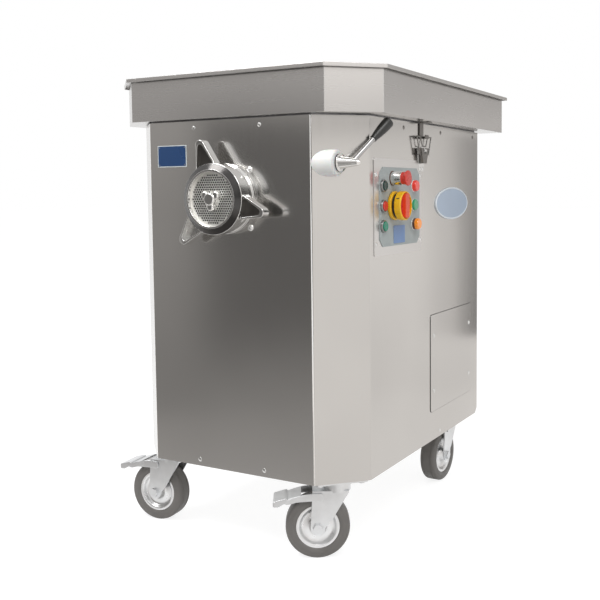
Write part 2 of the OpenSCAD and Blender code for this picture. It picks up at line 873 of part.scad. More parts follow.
// Half width of a lug's outline at a distance from the axis, drawn in by an inset
lug_run = lug_reach - lug_tip_r - lug_root_r;
lug_slant = 180 - atan2(lug_root_w, lug_run) - acos(lug_tip_r / norm([lug_run, lug_root_w]));
function lug_half(u, i) = ((lug_reach - lug_tip_r - u) * cos(lug_slant) + lug_tip_r - i)
    / sin(lug_slant);

module lug_outline(u, i) {
    tip = lug_reach - lug_tip_r;
    touch = [tip + (lug_tip_r - i) * cos(lug_slant), (lug_tip_r - i) * sin(lug_slant)];
    polygon([[u, -lug_half(u, i)], [touch[0], -touch[1]], touch, [u, lug_half(u, i)]]);
    translate([tip, 0]) circle(r = lug_tip_r - i);
}

module ring_nut() color("silver") head_frame() {
    rotate_extrude() polygon([[nut_bore_r, nut_start], [nut_r - nut_edge, nut_start],
        [nut_r, nut_start + nut_edge], [nut_r, lug_z + lug_t + nut_edge],
        [nut_r - nut_edge, thread_end + 2 * nut_edge], [face_r, nut_end],
        [opening_r + nut_edge, nut_end], [opening_r, nut_end - nut_edge], [opening_r, lip_z],
        [nut_bore_r, lip_z]]);
    for (a = [0:120:240]) rotate([0, 0, lug_angle + a]) difference() {
        translate([0, 0, lug_z]) linear_extrude(lug_t) lug_outline(lug_root_r, 0);
        translate([0, 0, lug_z + lug_t - lug_pocket]) linear_extrude(lug_pocket + over)
            lug_outline(nut_r + lug_rim, lug_rim);
    }
}

// Head lock: a cross shaft with a flat, turned by the lever beside the front
module lock_bush() color("white") translate([bush_end, lock_y, lock_z])
    rotate([0, -90, 0]) difference() {
        union() {
            cylinder(r = bush_r, h = bush_out);
            cylinder(r = bush_shank_r, h = bush_out + bush_shank_len);
        }
        translate([0, 0, -over])
            cylinder(r = lock_r + run_gap, h = bush_out + bush_shank_len + 2 * over);
    }

// The lever's own line, from the shaft's axis up and outwards
module lever_frame() translate([arm_x, lock_y, lock_z]) rotate([lever_lift, 0, 0])
    rotate([0, 0, -lever_lean]) rotate([-90, 0, 0]) children();

module lock_shaft() color("silver") difference() {
    translate([0, lock_y, lock_z]) rotate([0, 90, 0]) {
        translate([0, 0, -lock_boss_x - over])
            cylinder(r = lock_r, h = lock_boss_x + over + cone_x);
        translate([0, 0, cone_x - washer_t]) cylinder(r = washer_r, h = washer_t);
        translate([0, 0, cone_x]) cylinder(r1 = lock_r, r2 = cone_tip_r, h = hub_len);
        translate([0, 0, cone_x + hub_len]) cylinder(r1 = cone_tip_r, r2 = cone_tip_r / 2, h = cap_t);
    }
    translate([-lock_boss_x, lock_y + lock_r - lock_bite - lock_room, lock_z - lock_r - over])
        cube([2 * lock_boss_x, 2 * lock_r, 2 * (lock_r + over)]);
    lever_frame() cylinder(r = arm_r + run_gap, h = lever_len);
}

module lever_arm() color("gainsboro") lever_frame() {
    cylinder(r = arm_r, h = grip_start + grip_len / 2);
    translate([0, 0, grip_start - ferrule_len]) cylinder(r = ferrule_r, h = ferrule_len);
}

module lever_grip() color("dimgray") lever_frame() translate([0, 0, grip_start])
    difference() {
        rotate_extrude() polygon([[0, 0], [grip_neck_r, 0], [grip_neck_r, grip_len / 8],
            for (a = [0:15:90]) [grip_neck_r + (grip_r - grip_neck_r) * sin(a),
                grip_len * (0.2 + 0.62 * a / 90)],
            for (a = [15:15:90]) [grip_r * cos(a), grip_len * (0.82 + 0.18 * sin(a))]]);
        translate([0, 0, -over]) cylinder(r = arm_r, h = grip_len / 2 + over);
    }

// Controls on the right side
module control_plate() color("lightgray") difference() {
    side_frame(control_y, control_z) linear_extrude(plate_sheet)
        rounded(control_w, control_h, plate_corner);
    control_holes();
    // Notch round the base plate of the latch
    side_frame(latch_y, pivot_z - base_low) translate([-base_w / 2 - move_gap, -move_gap, -over])
        cube([base_w + 2 * move_gap, control_h, plate_sheet + 2 * over]);
    at_plate_screws() translate([0, 0, -over])
        cylinder(r = screw_r + seat_gap, h = plate_sheet + 2 * over);
}

module control_panel() color("gray") difference() {
    side_frame(control_y + panel_shift, control_z) translate([0, 0, plate_sheet])
        linear_extrude(panel_sheet) cut_corners(panel_w, panel_h, panel_cut);
    control_holes();
}

module control_collars() color("silver") {
    for (row = [-1, 0, 1]) {
        at_row(left_column, row) translate([0, 0, face_x])
            tube(collar_r, cap_r + move_gap, collar_out);
        at_row(right_column, row) translate([0, 0, face_x])
            tube(collar_r, cap_r, lamp_base);
    }
    at_control(estop_y, estop_z) translate([0, 0, face_x])
        tube(sleeve_r, sleeve_r - sleeve_wall, sleeve_out);
}

module push_button(row) at_row(left_column, row) {
    translate([0, 0, face_x + cap_travel + move_gap])
        cylinder(r = cap_r, h = cap_out - cap_travel - move_gap);
    translate([0, 0, -stem_len]) cylinder(r = stem_r, h = stem_len + face_x + cap_out / 2 + over);
}

module black_button() color("darkslategray") push_button(1);
module red_button() color("firebrick") push_button(0);
module green_button() color("seagreen") push_button(-1);

module estop_button() color("red") at_control(estop_y, estop_z) {
    neck_r = sleeve_r - sleeve_wall - move_gap;
    neck_out = sleeve_out + estop_travel + move_gap;
    translate([0, 0, -stem_len]) cylinder(r = stem_r, h = stem_len + face_x + sleeve_out);
    translate([0, 0, face_x + sleeve_out / 2]) cylinder(r = neck_r, h = neck_out - sleeve_out / 2);
    translate([0, 0, face_x + neck_out]) rotate_extrude() polygon([[0, 0], [neck_r, 0],
        [estop_r, (estop_out - neck_out) / 2], [estop_r, (estop_out - neck_out) * 0.7],
        [estop_r * 0.8, estop_out - neck_out], [0, estop_out - neck_out]]);
}

module lamp(row, out) at_row(right_column, row) translate([0, 0, face_x]) {
    cylinder(r = cap_r - move_gap, h = lamp_base);
    translate([0, 0, lamp_base]) rotate_extrude() polygon([[0, 0], [lamp_r, 0],
        for (a = [0:15:90]) [lamp_r * (0.86 + 0.14 * cos(a)),
            (out - lamp_base) * (0.7 + 0.3 * sin(a))], [0, out - lamp_base]]);
}

module lamp_red() color("crimson") lamp(1, lamp_red_out);
module lamp_green() color("limegreen") lamp(0, lamp_green_out);
module lamp_orange() color("darkorange") lamp(-1, lamp_orange_out);

module switch_housing() color("gold") at_control(switch_y, row_lift) translate([0, 0, face_x])
    difference() {
        union() {
            cylinder(r = switch_r, h = switch_base_t);
            cylinder(r = switch_neck_r, h = switch_base_t + switch_neck_t + over);
            translate([0, 0, switch_base_t + switch_neck_t])
                cylinder(r = switch_r, h = switch_drum_t);
        }
        translate([0, 0, switch_base_t + switch_neck_t + switch_drum_t - switch_recess])
            cylinder(r = switch_r - switch_rim, h = switch_recess + over);
        translate([0, 0, switch_base_t]) cylinder(r = stem_r + run_gap, h = switch_r);
    }

module switch_knob() color("red") at_control(switch_y, row_lift) translate([0, 0, face_x]) {
    floor_x = switch_base_t + switch_neck_t + switch_drum_t - switch_recess;
    translate([0, 0, switch_base_t + move_gap])
        cylinder(r = stem_r, h = floor_x - switch_base_t + over);
    translate([0, 0, floor_x + move_gap]) linear_extrude(switch_recess + switch_grip_out)
        intersection() {
            circle(r = switch_r - switch_rim - move_gap);
            square([2 * switch_grip_w, 2 * switch_r], center = true);
        }
}

module info_plate() color("steelblue") at_control(info_y, info_z) translate([0, 0, face_x])
    linear_extrude(info_t) square([info_w, info_h], center = true);

module rating_plate() color("steelblue") translate([rating_x, front_y, rating_z])
    rotate([90, 0, 0]) linear_extrude(plaque_t) square([rating_w, rating_h], center = true);

module oval_badge() color("lightblue") side_frame(badge_y, badge_z) linear_extrude(badge_t)
    polygon([for (a = [0:6:354]) [badge_w / 2 * cos(a), badge_h / 2 * sin(a)]]);

// Tray latches, made for the right side and mirrored
module latch_frame(z) side_frame(latch_y, z) children();

module latch_fixings() color("silver") for (s = [-1, 1]) on_side(s) {
    trough_z = bar_z - wire_r - move_gap;
    // Keeper under the tray: a strap whose lower end is a trough
    translate([side_x, latch_y + strap_w / 2, 0]) rotate([90, 0, 0]) linear_extrude(strap_w)
        polygon([[strap_x, tray_z], [strap_x, trough_z - strap_t],
            [pin_out + trough_w + strap_t, trough_z - strap_t],
            [pin_out + trough_w + strap_t, bar_z + trough_lip],
            [pin_out + trough_w, bar_z + trough_lip], [pin_out + trough_w, trough_z],
            [strap_x + strap_t, trough_z], [strap_x + strap_t, tray_z - strap_t],
            [strap_foot, tray_z - strap_t], [strap_foot, tray_z]]);
    // Base plate with the lug that carries the lever
    latch_frame(pivot_z) difference() {
        union() {
            translate([-base_w / 2, -base_low, 0])
                cube([base_w, base_low + base_high, base_sheet]);
            translate([-lug_w / 2, -lug_round, 0]) cube([lug_w, 2 * lug_round, pin_out]);
            translate([-lug_w / 2, 0, pin_out]) rotate([0, 90, 0])
                cylinder(r = lug_round, h = lug_w);
            for (y = [-1, 1]) translate([y * base_w / 4, -base_low + rivet_head_r + over, base_sheet])
                fastener(rivet_head_r, rivet_head_h, rivet_r, base_sheet / 2);
        }
        translate([-lug_w, 0, pin_out]) rotate([0, 90, 0])
            cylinder(r = pin_r + run_gap, h = 2 * lug_w);
    }
}

module latch_lever(s) color("dimgray") on_side(s) latch_frame(pivot_z) {
    difference() {
        translate([0, 0, pin_out - lever_t / 2]) linear_extrude(lever_t) difference() {
            polygon([[-lever_half, lever_top], [-lever_end_half, -latch_len],
                [lever_end_half, -latch_len], [lever_half, lever_top]]);
            translate([-slot_half, -slot_low]) square([2 * slot_half, slot_low + lever_top + over]);
        }
        for (y = [-1, 1]) translate([y * (bail_in - move_gap), -latch_throw, pin_out])
            rotate([0, y * 90, 0]) cylinder(r = wire_r + run_gap, h = lever_half);
    }
    translate([-slot_half - over, 0, pin_out]) rotate([0, 90, 0])
        cylinder(r = pin_r, h = 2 * (slot_half + over));
}

module latch_bail(s) color("gainsboro") on_side(s) latch_frame(pin_z)
    translate([0, 0, pin_out]) {
        half = bail_w / 2;
        low_half = loop_low_half;
        strut([-half - wire_r, bail_h], [half + wire_r, bail_h], wire_r);
        strut([-low_half - thin_r, loop_rise], [low_half + thin_r, loop_rise], thin_r);
        for (y = [-1, 1]) {
            strut([y * bail_in, 0], [y * (leg_half + wire_r), 0], wire_r);
            strut([y * leg_half, 0], [y * half, bail_h], leg_share * wire_r);
            strut([y * low_half, loop_rise], [y * loop_half, bail_h], leg_share * thin_r);
        }
    }

// Castors: a fixed plate with its kingpin, a swivelling fork, and the wheel
module castor_plates() color("lightgray") for (i = [0:3])
    translate([castor_spots[i][0], castor_spots[i][1], 0]) {
        pin_low = crown_z - move_gap - kingpin_nut_t;
        translate([0, 0, castor_plate_z]) rotate([0, 0, plate_turns[i]])
            linear_extrude(castor_plate_t) rounded(castor_plate_l, castor_plate_w, castor_bolt_r);
        translate([0, 0, race_z + move_gap]) cylinder(r = top_race_r, h = race_room - move_gap);
        translate([0, 0, pin_low]) cylinder(r = kingpin_r, h = castor_plate_z - pin_low);
        translate([0, 0, pin_low]) cylinder(r = kingpin_nut_r, h = kingpin_nut_t, $fn = 6);
        rotate([0, 0, plate_turns[i]]) for (x = [-1, 1], y = [-1, 1])
            translate([x * (castor_plate_l / 2 - castor_bolt_in),
                y * (castor_plate_w / 2 - castor_bolt_in), castor_plate_z - castor_bolt_t])
                cylinder(r = castor_bolt_r, h = castor_bolt_t + over, $fn = 6);
    }

module fork(i) color("lightsteelblue") castor_frame(i) difference() {
    union() {
        translate([0, 0, crown_z]) cylinder(r = race_r, h = crown_t + race_h);
        translate([-crown_lead, -fork_out, crown_z])
            cube([crown_lead + crown_tail, 2 * fork_out, crown_t]);
        for (y = [fork_out, -fork_in]) translate([0, y, 0]) rotate([90, 0, 0])
            linear_extrude(crown_t) {
                polygon([[-crown_lead, crown_z + crown_t], [-crown_lead, crown_z],
                    [knee_x, wheel_r + knee_rise], [castor_trail - boss_r, wheel_r],
                    [castor_trail + boss_r, wheel_r], [crown_tail, crown_z + crown_t]]);
                translate([castor_trail, wheel_r]) circle(r = boss_r);
            }
        translate([castor_trail, fork_out + axle_head_t, wheel_r]) rotate([90, 0, 0])
            cylinder(r = axle_r - run_gap, h = 2 * (fork_out + axle_head_t));
        for (y = [fork_out + axle_head_t, -fork_out]) translate([castor_trail, y, wheel_r])
            rotate([90, 0, 0]) cylinder(r = axle_head_r, h = axle_head_t, $fn = 6);
    }
    translate([0, 0, crown_z - over])
        cylinder(r = kingpin_r + run_gap, h = crown_t + race_h + 2 * over);
    translate([pedal_pivot_x, fork_out + over, pedal_pivot_z]) rotate([90, 0, 0])
        cylinder(r = pedal_pin_r + run_gap, h = 2 * (fork_out + over));
}

// Frame of a wheel: z along the axle
module wheel_frame(i) castor_frame(i) translate([castor_trail, 0, wheel_r])
    rotate([90, 0, 0]) children();

module tyre(i) color("silver") wheel_frame(i) rotate_extrude() polygon([
    [rim_r, -tyre_w / 2], [wheel_r - shoulder_r, -tyre_w / 2], [wheel_r, -tread_w / 2],
    [wheel_r, tread_w / 2], [wheel_r - shoulder_r, tyre_w / 2], [rim_r, tyre_w / 2]]);

module rim(i) color("whitesmoke") wheel_frame(i) {
    edge = tyre_w / 2 - rim_wall / 2;
    hub = fork_in - move_gap;
    rotate_extrude() polygon([[axle_r, -hub], [rim_hub_r - web_in, -hub],
        [rim_hub_r, -hub + web_in], [rim_hub_r + web_in, -web_t], [rim_r - rim_wall - web_in,
        -web_t], [rim_r - rim_wall, -edge], [rim_r, -edge], [rim_r, edge], [rim_r - rim_wall, edge],
        [rim_r - rim_wall - web_in, web_t], [rim_hub_r + web_in, web_t], [rim_hub_r, hub - web_in],
        [rim_hub_r - web_in, hub], [axle_r, hub]]);
}

module pedal(i) color("slategray") castor_frame(i) {
    arm_in = fork_out + move_gap;
    for (y = [-1, 1]) {
        translate([0, y > 0 ? arm_in + pedal_arm_t : -arm_in, 0]) rotate([90, 0, 0])
            linear_extrude(pedal_arm_t) {
                translate([pedal_pivot_x, pedal_pivot_z]) circle(r = pedal_arm_h / 2);
                polygon([[pedal_pivot_x, pedal_pivot_z - pedal_arm_h / 2],
                    [pedal_cap_x + pedal_cap_t, pedal_pivot_z - pedal_arm_h / 2],
                    [pedal_cap_x + pedal_cap_t, pedal_pivot_z + pedal_arm_h / 2],
                    [pedal_pivot_x, pedal_pivot_z + pedal_arm_h / 2]]);
            }
        translate([pedal_pivot_x, y > 0 ? arm_in + over : -fork_in, pedal_pivot_z])
            rotate([90, 0, 0]) cylinder(r = pedal_pin_r, h = arm_in + over - fork_in);
    }
    translate([pedal_bar_x, -arm_in, pedal_pivot_z])
        cube([pedal_bar_w, 2 * arm_in, pedal_bar_t]);
    translate([pedal_cap_x, pedal_cap_half, 0]) rotate([90, 0, 0])
        linear_extrude(2 * pedal_cap_half) polygon([[0, pedal_cap_z], [pedal_cap_t, pedal_cap_z],
            [pedal_cap_len, pedal_cap_z + pedal_cap_t], [pedal_cap_len, pedal_cap_z + pedal_cap_h
            - pedal_cap_t], [pedal_cap_len - pedal_cap_t, pedal_cap_z + pedal_cap_h],
            [0, pedal_cap_z + pedal_cap_h]]);
}

// Drive: a gearbox behind the head, with its motor below and behind
module gearbox() color("steelblue") difference() {
    union() {
        translate([0, gearbox_y + gearbox_len, 0]) rotate([90, 0, 0]) linear_extrude(gearbox_len) {
            translate([0, head_z]) circle(r = gearbox_r);
            translate([0, motor_z]) circle(r = gearbox_r);
            translate([-gearbox_r, motor_z]) square([2 * gearbox_r, motor_drop]);
        }
        translate([-gearbox_foot_x, gearbox_y, stand_z])
            cube([2 * gearbox_foot_x, gearbox_len, gearbox_foot_h]);
    }
    head_frame() translate([0, 0, -housing_len - drive_len - over])
        cylinder(r = drive_r + run_gap, h = drive_len + 2 * over);
}

module motor() color("darkslategray") translate([0, gearbox_y + gearbox_len, motor_z]) {
    rotate([-90, 0, 0]) {
        cylinder(r = motor_r, h = motor_flange_t);
        cylinder(r = motor_r - fin_h, h = motor_len);
        for (i = [1:fin_count]) rotate([0, 0, 360 * i / fin_count])
            translate([0, -fin_t / 2, over]) cube([motor_r - fin_t, fin_t, motor_len - fan_cover_len]);
        translate([0, 0, motor_len - fan_cover_len]) cylinder(r = motor_r, h = fan_cover_len);
    }
    translate([-terminal_w / 2, (motor_len - terminal_l) / 3, motor_r - fin_h])
        cube([terminal_w, terminal_l, terminal_h]);
}

module cable_gland() color("dimgray") rear_frame(gland_x, gland_z) difference() {
    union() {
        cylinder(r = gland_r, h = gland_nut_t, $fn = 6);
        cylinder(r = gland_r - over, h = gland_out - gland_nut_t);
        cylinder(r1 = gland_r - over, r2 = gland_thread_r, h = gland_out);
        translate([0, 0, -gland_in]) cylinder(r = gland_thread_r, h = gland_in + over);
        translate([0, 0, -sheet - gland_nut_t]) cylinder(r = gland_r, h = gland_nut_t, $fn = 6);
    }
    translate([0, 0, -gland_in - over])
        cylinder(r = gland_bore_r, h = gland_in + gland_out + 2 * over);
}

base_plate();
chassis();
front_casing();
right_panel();
left_panel();
rear_panel();
service_cover();
panel_fasteners();
tray();
latch_fixings();
control_plate();
control_panel();
control_collars();
lamp_red();
lamp_green();
lamp_orange();
switch_housing();
info_plate();
rating_plate();
oval_badge();
head_housing();
barrel();
hole_plate();
worm_bush();
lock_bush();
gearbox();
motor();
cable_gland();
castor_plates();
worm();
knife();
shaft_nut();
drive_shaft();
ring_nut();
lock_shaft();
lever_arm();
lever_grip();
estop_button();
black_button();
red_button();
green_button();
switch_knob();
latch_lever(1);  // latch_lever_right
latch_bail(1);  // latch_bail_right
latch_lever(-1);  // latch_lever_left
latch_bail(-1);  // latch_bail_left
fork(0);  // fork_front_right
fork(1);  // fork_front_left
fork(2);  // fork_rear_right
fork(3);  // fork_rear_left
rim(0);  // rim_front_right
rim(1);  // rim_front_left
rim(2);  // rim_rear_right
rim(3);  // rim_rear_left
tyre(0);  // tyre_front_right
tyre(1);  // tyre_front_left
tyre(2);  // tyre_rear_right
tyre(3);  // tyre_rear_left
pedal(0);  // pedal_right
pedal(1);  // pedal_left
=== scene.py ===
# %% [markdown]
# # A butcher's meat grinder, dressed in Blender
#
# The construction arrives as a fixed frame: every sheet, shaft and wheel of the machine, at its
# real size and in its real place. This lesson gives it the finish of the real one. Pieces whose
# shape is already right get a better edge and a better material, and pieces that need more shape
# are modelled afresh in the same place. Loading the frame comes first, because everything else
# is measured from it.

# %% Load the frame
import json
from math import atan2, cos, degrees, pi, radians, sin, tau
import bmesh
import bpy
from mathutils import Matrix, Vector


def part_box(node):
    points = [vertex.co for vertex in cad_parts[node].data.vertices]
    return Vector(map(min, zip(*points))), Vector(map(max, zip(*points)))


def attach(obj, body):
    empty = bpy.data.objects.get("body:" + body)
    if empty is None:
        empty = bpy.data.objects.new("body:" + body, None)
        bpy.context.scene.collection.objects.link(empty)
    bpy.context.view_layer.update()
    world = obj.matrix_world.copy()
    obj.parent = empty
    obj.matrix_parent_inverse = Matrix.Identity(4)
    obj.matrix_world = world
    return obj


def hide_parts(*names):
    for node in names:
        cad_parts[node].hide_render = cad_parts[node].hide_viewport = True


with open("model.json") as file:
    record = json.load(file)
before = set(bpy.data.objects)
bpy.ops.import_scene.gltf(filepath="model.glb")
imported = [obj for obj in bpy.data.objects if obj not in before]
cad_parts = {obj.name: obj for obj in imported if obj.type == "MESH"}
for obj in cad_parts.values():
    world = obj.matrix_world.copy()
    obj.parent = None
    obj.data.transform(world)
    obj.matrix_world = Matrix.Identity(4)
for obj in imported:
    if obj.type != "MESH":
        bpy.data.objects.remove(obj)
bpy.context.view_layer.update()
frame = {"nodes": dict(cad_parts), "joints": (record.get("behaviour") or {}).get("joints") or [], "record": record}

nodes = frame["nodes"]
MM = 0.001

# %% [markdown]
# ## The camera
#
# The photograph was taken from about the height of the grinding head, beside the right front
# corner. Its place was worked out from the machine's own straight edges. The picture was cropped,
# so the lens axis does not meet the middle of the frame, and the camera's shift carries that.
# The camera itself looks down by four degrees.

# %% Camera
FRAME_PIXELS = 600
SENSOR = 36
camera_place = Vector((1009.96, -1696.13, 706.91)) * MM
camera_yaw, camera_pitch, camera_roll = radians(28.68), radians(-4.075), radians(-0.454)
focal_pixels = 866.4
axis_pixel = (346.1, 253.5)


def new_object(name, data):
    thing = bpy.data.objects.new(name, data)
    bpy.context.collection.objects.link(thing)
    return thing


camera = new_object("camera", bpy.data.cameras.new("camera"))
bpy.context.scene.camera = camera
bpy.context.scene.view_settings.view_transform = "Standard"
camera.data.sensor_width = SENSOR
camera.data.lens = focal_pixels / FRAME_PIXELS * SENSOR
camera.data.shift_x = 0.5 - axis_pixel[0] / FRAME_PIXELS
camera.data.shift_y = axis_pixel[1] / FRAME_PIXELS - 0.5
camera.location = camera_place
camera.rotation_mode = "QUATERNION"
turn = Matrix.Rotation(camera_yaw, 3, "Z") @ Matrix.Rotation(pi / 2 + camera_pitch, 3, "X")
camera.rotation_quaternion = (turn @ Matrix.Rotation(camera_roll, 3, "Z")).to_quaternion()
print(f"lens {camera.data.lens:.1f} mm, shift {camera.data.shift_x:.3f} {camera.data.shift_y:.3f}")

# %% [markdown]
# ## Measures taken from the frame
#
# New pieces have to sit on the machine's own planes and axes, so these are read from the boxes
# of the nodes. Frames of reference follow for the faces: x runs to the right, y up and z out of
# the face. They also turn millimetres into metres, so pieces can be drawn in millimetres.

# %% Planes and axes
def middle(node):
    low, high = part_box(node)
    return (low + high) / 2


def extent(node):
    """A node's size along x, y and z, in millimetres."""
    low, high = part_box(node)
    return (high - low) / MM


def face_frame(origin, right, up, out):
    """Axes on a face of the machine, in millimetres: x to the right, y up, z out of it."""
    axes = Matrix((right, up, out)).transposed().to_4x4()
    return Matrix.Translation(origin) @ axes @ Matrix.Scale(MM, 4)


def front_frame(x, y, z):
    return face_frame((x, y, z), (1, 0, 0), (0, 0, 1), (0, -1, 0))


def head_frame(y):
    return front_frame(0, y, head_z)


def side_frame(y, z, x=None):
    return face_frame((side_x if x is None else x, y, z), (0, 1, 0), (0, 0, 1), (1, 0, 0))


casing_low, casing_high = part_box("front_casing")
front_y, fold_y, side_x = casing_low.y, casing_high.y, casing_high.x
bottom_z, top_z = casing_low.z, casing_high.z
rear_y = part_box("right_panel")[1].y
flat_x = side_x - (fold_y - front_y)
head_z = middle("hole_plate").z
body_of = {n: body for body, members in frame["record"]["behaviour"]["bodies"].items() for n in members}
slot_of = {piece["node"]: piece["material_slot"] for piece in frame["record"]["subparts"]}
print(f"cabinet {2 * side_x:.3f} wide, {rear_y - front_y:.3f} deep, head at {head_z:.3f}")

# %% [markdown]
# ## Tools for making pieces
#
# Four ways of making a solid cover nearly the whole machine: turn an outline round an axis,
# raise an outline into a plate, copy a solid of the frame, and round the edges of any of them.
# Real edges are never razor sharp, and the thin bright line that a small bevel catches is what
# makes metal look like metal. A weighted-normal modifier keeps the flat faces flat beside it.

# %% Outlines
def arc(x, y, radius, start, end, count=6):
    """Points on part of a circle, between two angles in degrees."""
    angles = [radians(start + (end - start) * i / count) for i in range(count + 1)]
    return [(x + radius * cos(a), y + radius * sin(a)) for a in angles]


def ring_of(x, y, radius, count):
    return arc(x, y, radius, 0, 360 - 360 / count, count - 1)


def rounded_outline(width, height, corner):
    x, y = width / 2 - corner, height / 2 - corner
    return (arc(x, y, corner, 0, 90) + arc(-x, y, corner, 90, 180)
            + arc(-x, -y, corner, 180, 270) + arc(x, -y, corner, 270, 360))


print("outlines ready")


# %% Solids from outlines
WELD = 1e-6


def revolve(outline, steps, closed=False):
    """Turns a line of (radius, height) points once round z."""
    bm = bmesh.new()
    line = [bm.verts.new((r, 0, z)) for r, z in outline]
    ends = line[1:] + line[:1] if closed else line[1:]
    edges = [bm.edges.new(pair) for pair in zip(line, ends)]
    bmesh.ops.spin(bm, geom=line + edges, cent=(0, 0, 0), axis=(0, 0, 1), angle=tau,
                   steps=steps, use_merge=True)
    bmesh.ops.remove_doubles(bm, verts=bm.verts, dist=WELD)
    return bm


def raise_faces(bm, height):
    """Turns flat faces into a plate."""
    made = bmesh.ops.extrude_face_region(bm, geom=bm.faces[:])["geom"]
    top = [v for v in made if isinstance(v, bmesh.types.BMVert)]
    bmesh.ops.translate(bm, verts=top, vec=(0, 0, height))
    return bm


def raise_outline(outline, height):
    """Makes a plate of an outline drawn on x and y."""
    bm = bmesh.new()
    bm.faces.new([bm.verts.new((x, y, 0)) for x, y in outline])
    return raise_faces(bm, height)


def pierced(outer, holes, height):
    """Makes a plate with holes in it, of outlines drawn on x and y."""
    bm = bmesh.new()
    edges = []
    for outline in (outer, *holes):
        line = [bm.verts.new((x, y, 0)) for x, y in outline]
        edges += [bm.edges.new(pair) for pair in zip(line, line[1:] + line[:1])]
    bmesh.ops.triangle_fill(bm, edges=edges, use_beauty=True)
    return raise_faces(bm, height)


print("solids ready")


# %% Copies, edges and shells
def along(z):
    return Matrix.Translation((0, 0, z))


def turned(angle, axis):
    return Matrix.Rotation(radians(angle), 4, axis)


def copy_of(node):
    """A merged copy of a node's solid, with its flat faces whole."""
    bm = bmesh.new()
    bm.from_mesh(nodes[node].data)
    bmesh.ops.remove_doubles(bm, verts=bm.verts, dist=WELD)
    bmesh.ops.dissolve_limit(bm, angle_limit=radians(1), verts=bm.verts, edges=bm.edges)
    return bm


def soften(bm, width, segments, angle, chosen=lambda edge: True):
    """Rounds the edges that are sharper than an angle."""
    sharp = [e for e in bm.edges if e.is_manifold and chosen(e)
             and e.calc_face_angle(0) > radians(angle)]
    bmesh.ops.bevel(bm, geom=sharp, offset=width, offset_type="OFFSET", segments=segments,
                    profile=0.5, affect="EDGES", clamp_overlap=True, material=-1)


def add_shell(bm, other, place=Matrix()):
    """Puts another closed shell into a piece."""
    bmesh.ops.transform(other, matrix=place, verts=other.verts)
    scrap = bpy.data.meshes.new("scrap")
    other.to_mesh(scrap)
    other.free()
    bm.from_mesh(scrap)
    bpy.data.meshes.remove(scrap)


print("copies ready")


# %% Finished pieces
def keep(bm, name, slot, body="root", place=Matrix(), stands_for=(), finish=None, smooth=38,
         patch=None):
    """Makes the piece an object of the machine. A patch is a second finish and where it lies."""
    if patch:
        for face in bm.faces:
            face.material_index = int(patch[1](face.calc_center_median()))
    bmesh.ops.transform(bm, matrix=place, verts=bm.verts)
    bmesh.ops.recalc_face_normals(bm, faces=bm.faces)
    mesh = bpy.data.meshes.new(name)
    bm.to_mesh(mesh)
    bm.free()
    mesh.shade_smooth()
    mesh.set_sharp_from_angle(angle=radians(smooth))
    mesh.materials.append(finishes[finish or slot])
    if patch:
        mesh.materials.append(finishes[patch[0]])
    piece = new_object(name, mesh)
    piece.modifiers.new("even_normals", "WEIGHTED_NORMAL").keep_sharp = True
    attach(piece, body)
    if stands_for:
        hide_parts(*stands_for)
    print(f"{name}: {len(mesh.polygons)} faces on {body}")
    return piece


def stand_in(bm, name, node, place=Matrix(), finish=None, smooth=38, patch=None):
    """Keeps a piece instead of a node, on the node's body and in its slot."""
    return keep(bm, name, slot_of[node], body_of[node], place, [node], finish, smooth, patch)


def dress(node, width, segments, angle, finish=None, patch=None):
    """Replaces a node by a copy of itself with softened edges."""
    bm = copy_of(node)
    soften(bm, width, segments, angle)
    stand_in(bm, node + "_dressed", node, finish=finish, patch=patch)


print("tools ready")

# %% [markdown]
# ## Finishes
#
# Every finish is a small tree of nodes on the object's own coordinates. One noise, stretched to
# suit, varies the roughness: that is what tells satin sheet from polished casting. A second one
# lifts the surface a little as a bump. Colour moves only slightly, because metal is even in
# colour and uneven in how it scatters light. What is the same all over stays on the shader.

# %% A finish
finishes = {}


def fill(node, sockets):
    for socket, value in sockets.items():
        node.inputs[socket.replace("_", " ")].default_value = value


def node_in(tree, kind, **sockets):
    """Adds a node, with plain values on some of its sockets."""
    made = tree.nodes.new(kind)
    fill(made, sockets)
    return made


def new_finish(name, colour, metallic=0.0, roughness=0.5, **sockets):
    """A material with one plain shader, to be varied below."""
    material = bpy.data.materials.new(name)
    material.use_nodes = True
    material.diffuse_color = (*colour, 1)
    shader = material.node_tree.nodes["Principled BSDF"]
    fill(shader, {"Base Color": (*colour, 1), "Metallic": metallic, "Roughness": roughness, **sockets})
    finishes[name] = material
    return material


print("finish maker ready")


# %% Variation over a surface
NOISE_LOW, NOISE_HIGH = 0.3, 0.7


def noise(material, scale, detail, stretch=(1, 1, 1)):
    """A noise on the object's coordinates, finer along some axes than along others."""
    tree = material.node_tree
    place = node_in(tree, "ShaderNodeTexCoord")
    mapping = node_in(tree, "ShaderNodeMapping", Scale=stretch)
    texture = node_in(tree, "ShaderNodeTexNoise", Scale=scale, Detail=detail)
    tree.links.new(place.outputs["Object"], mapping.inputs["Vector"])
    tree.links.new(mapping.outputs["Vector"], texture.inputs["Vector"])
    return texture.outputs["Fac"]


def vary_roughness(material, source, low, high):
    tree = material.node_tree
    spread = node_in(tree, "ShaderNodeMapRange", From_Min=NOISE_LOW, From_Max=NOISE_HIGH,
                     To_Min=low, To_Max=high)
    tree.links.new(source, spread.inputs["Value"])
    tree.links.new(spread.outputs["Result"], tree.nodes["Principled BSDF"].inputs["Roughness"])


def vary_colour(material, source, dark, light):
    tree = material.node_tree
    ramp = tree.nodes.new("ShaderNodeValToRGB")
    for stop, at, colour in zip(ramp.color_ramp.elements, (NOISE_LOW, NOISE_HIGH), (dark, light)):
        stop.position = at
        stop.color = (*colour, 1)
    tree.links.new(source, ramp.inputs["Fac"])
    tree.links.new(ramp.outputs["Color"], tree.nodes["Principled BSDF"].inputs["Base Color"])


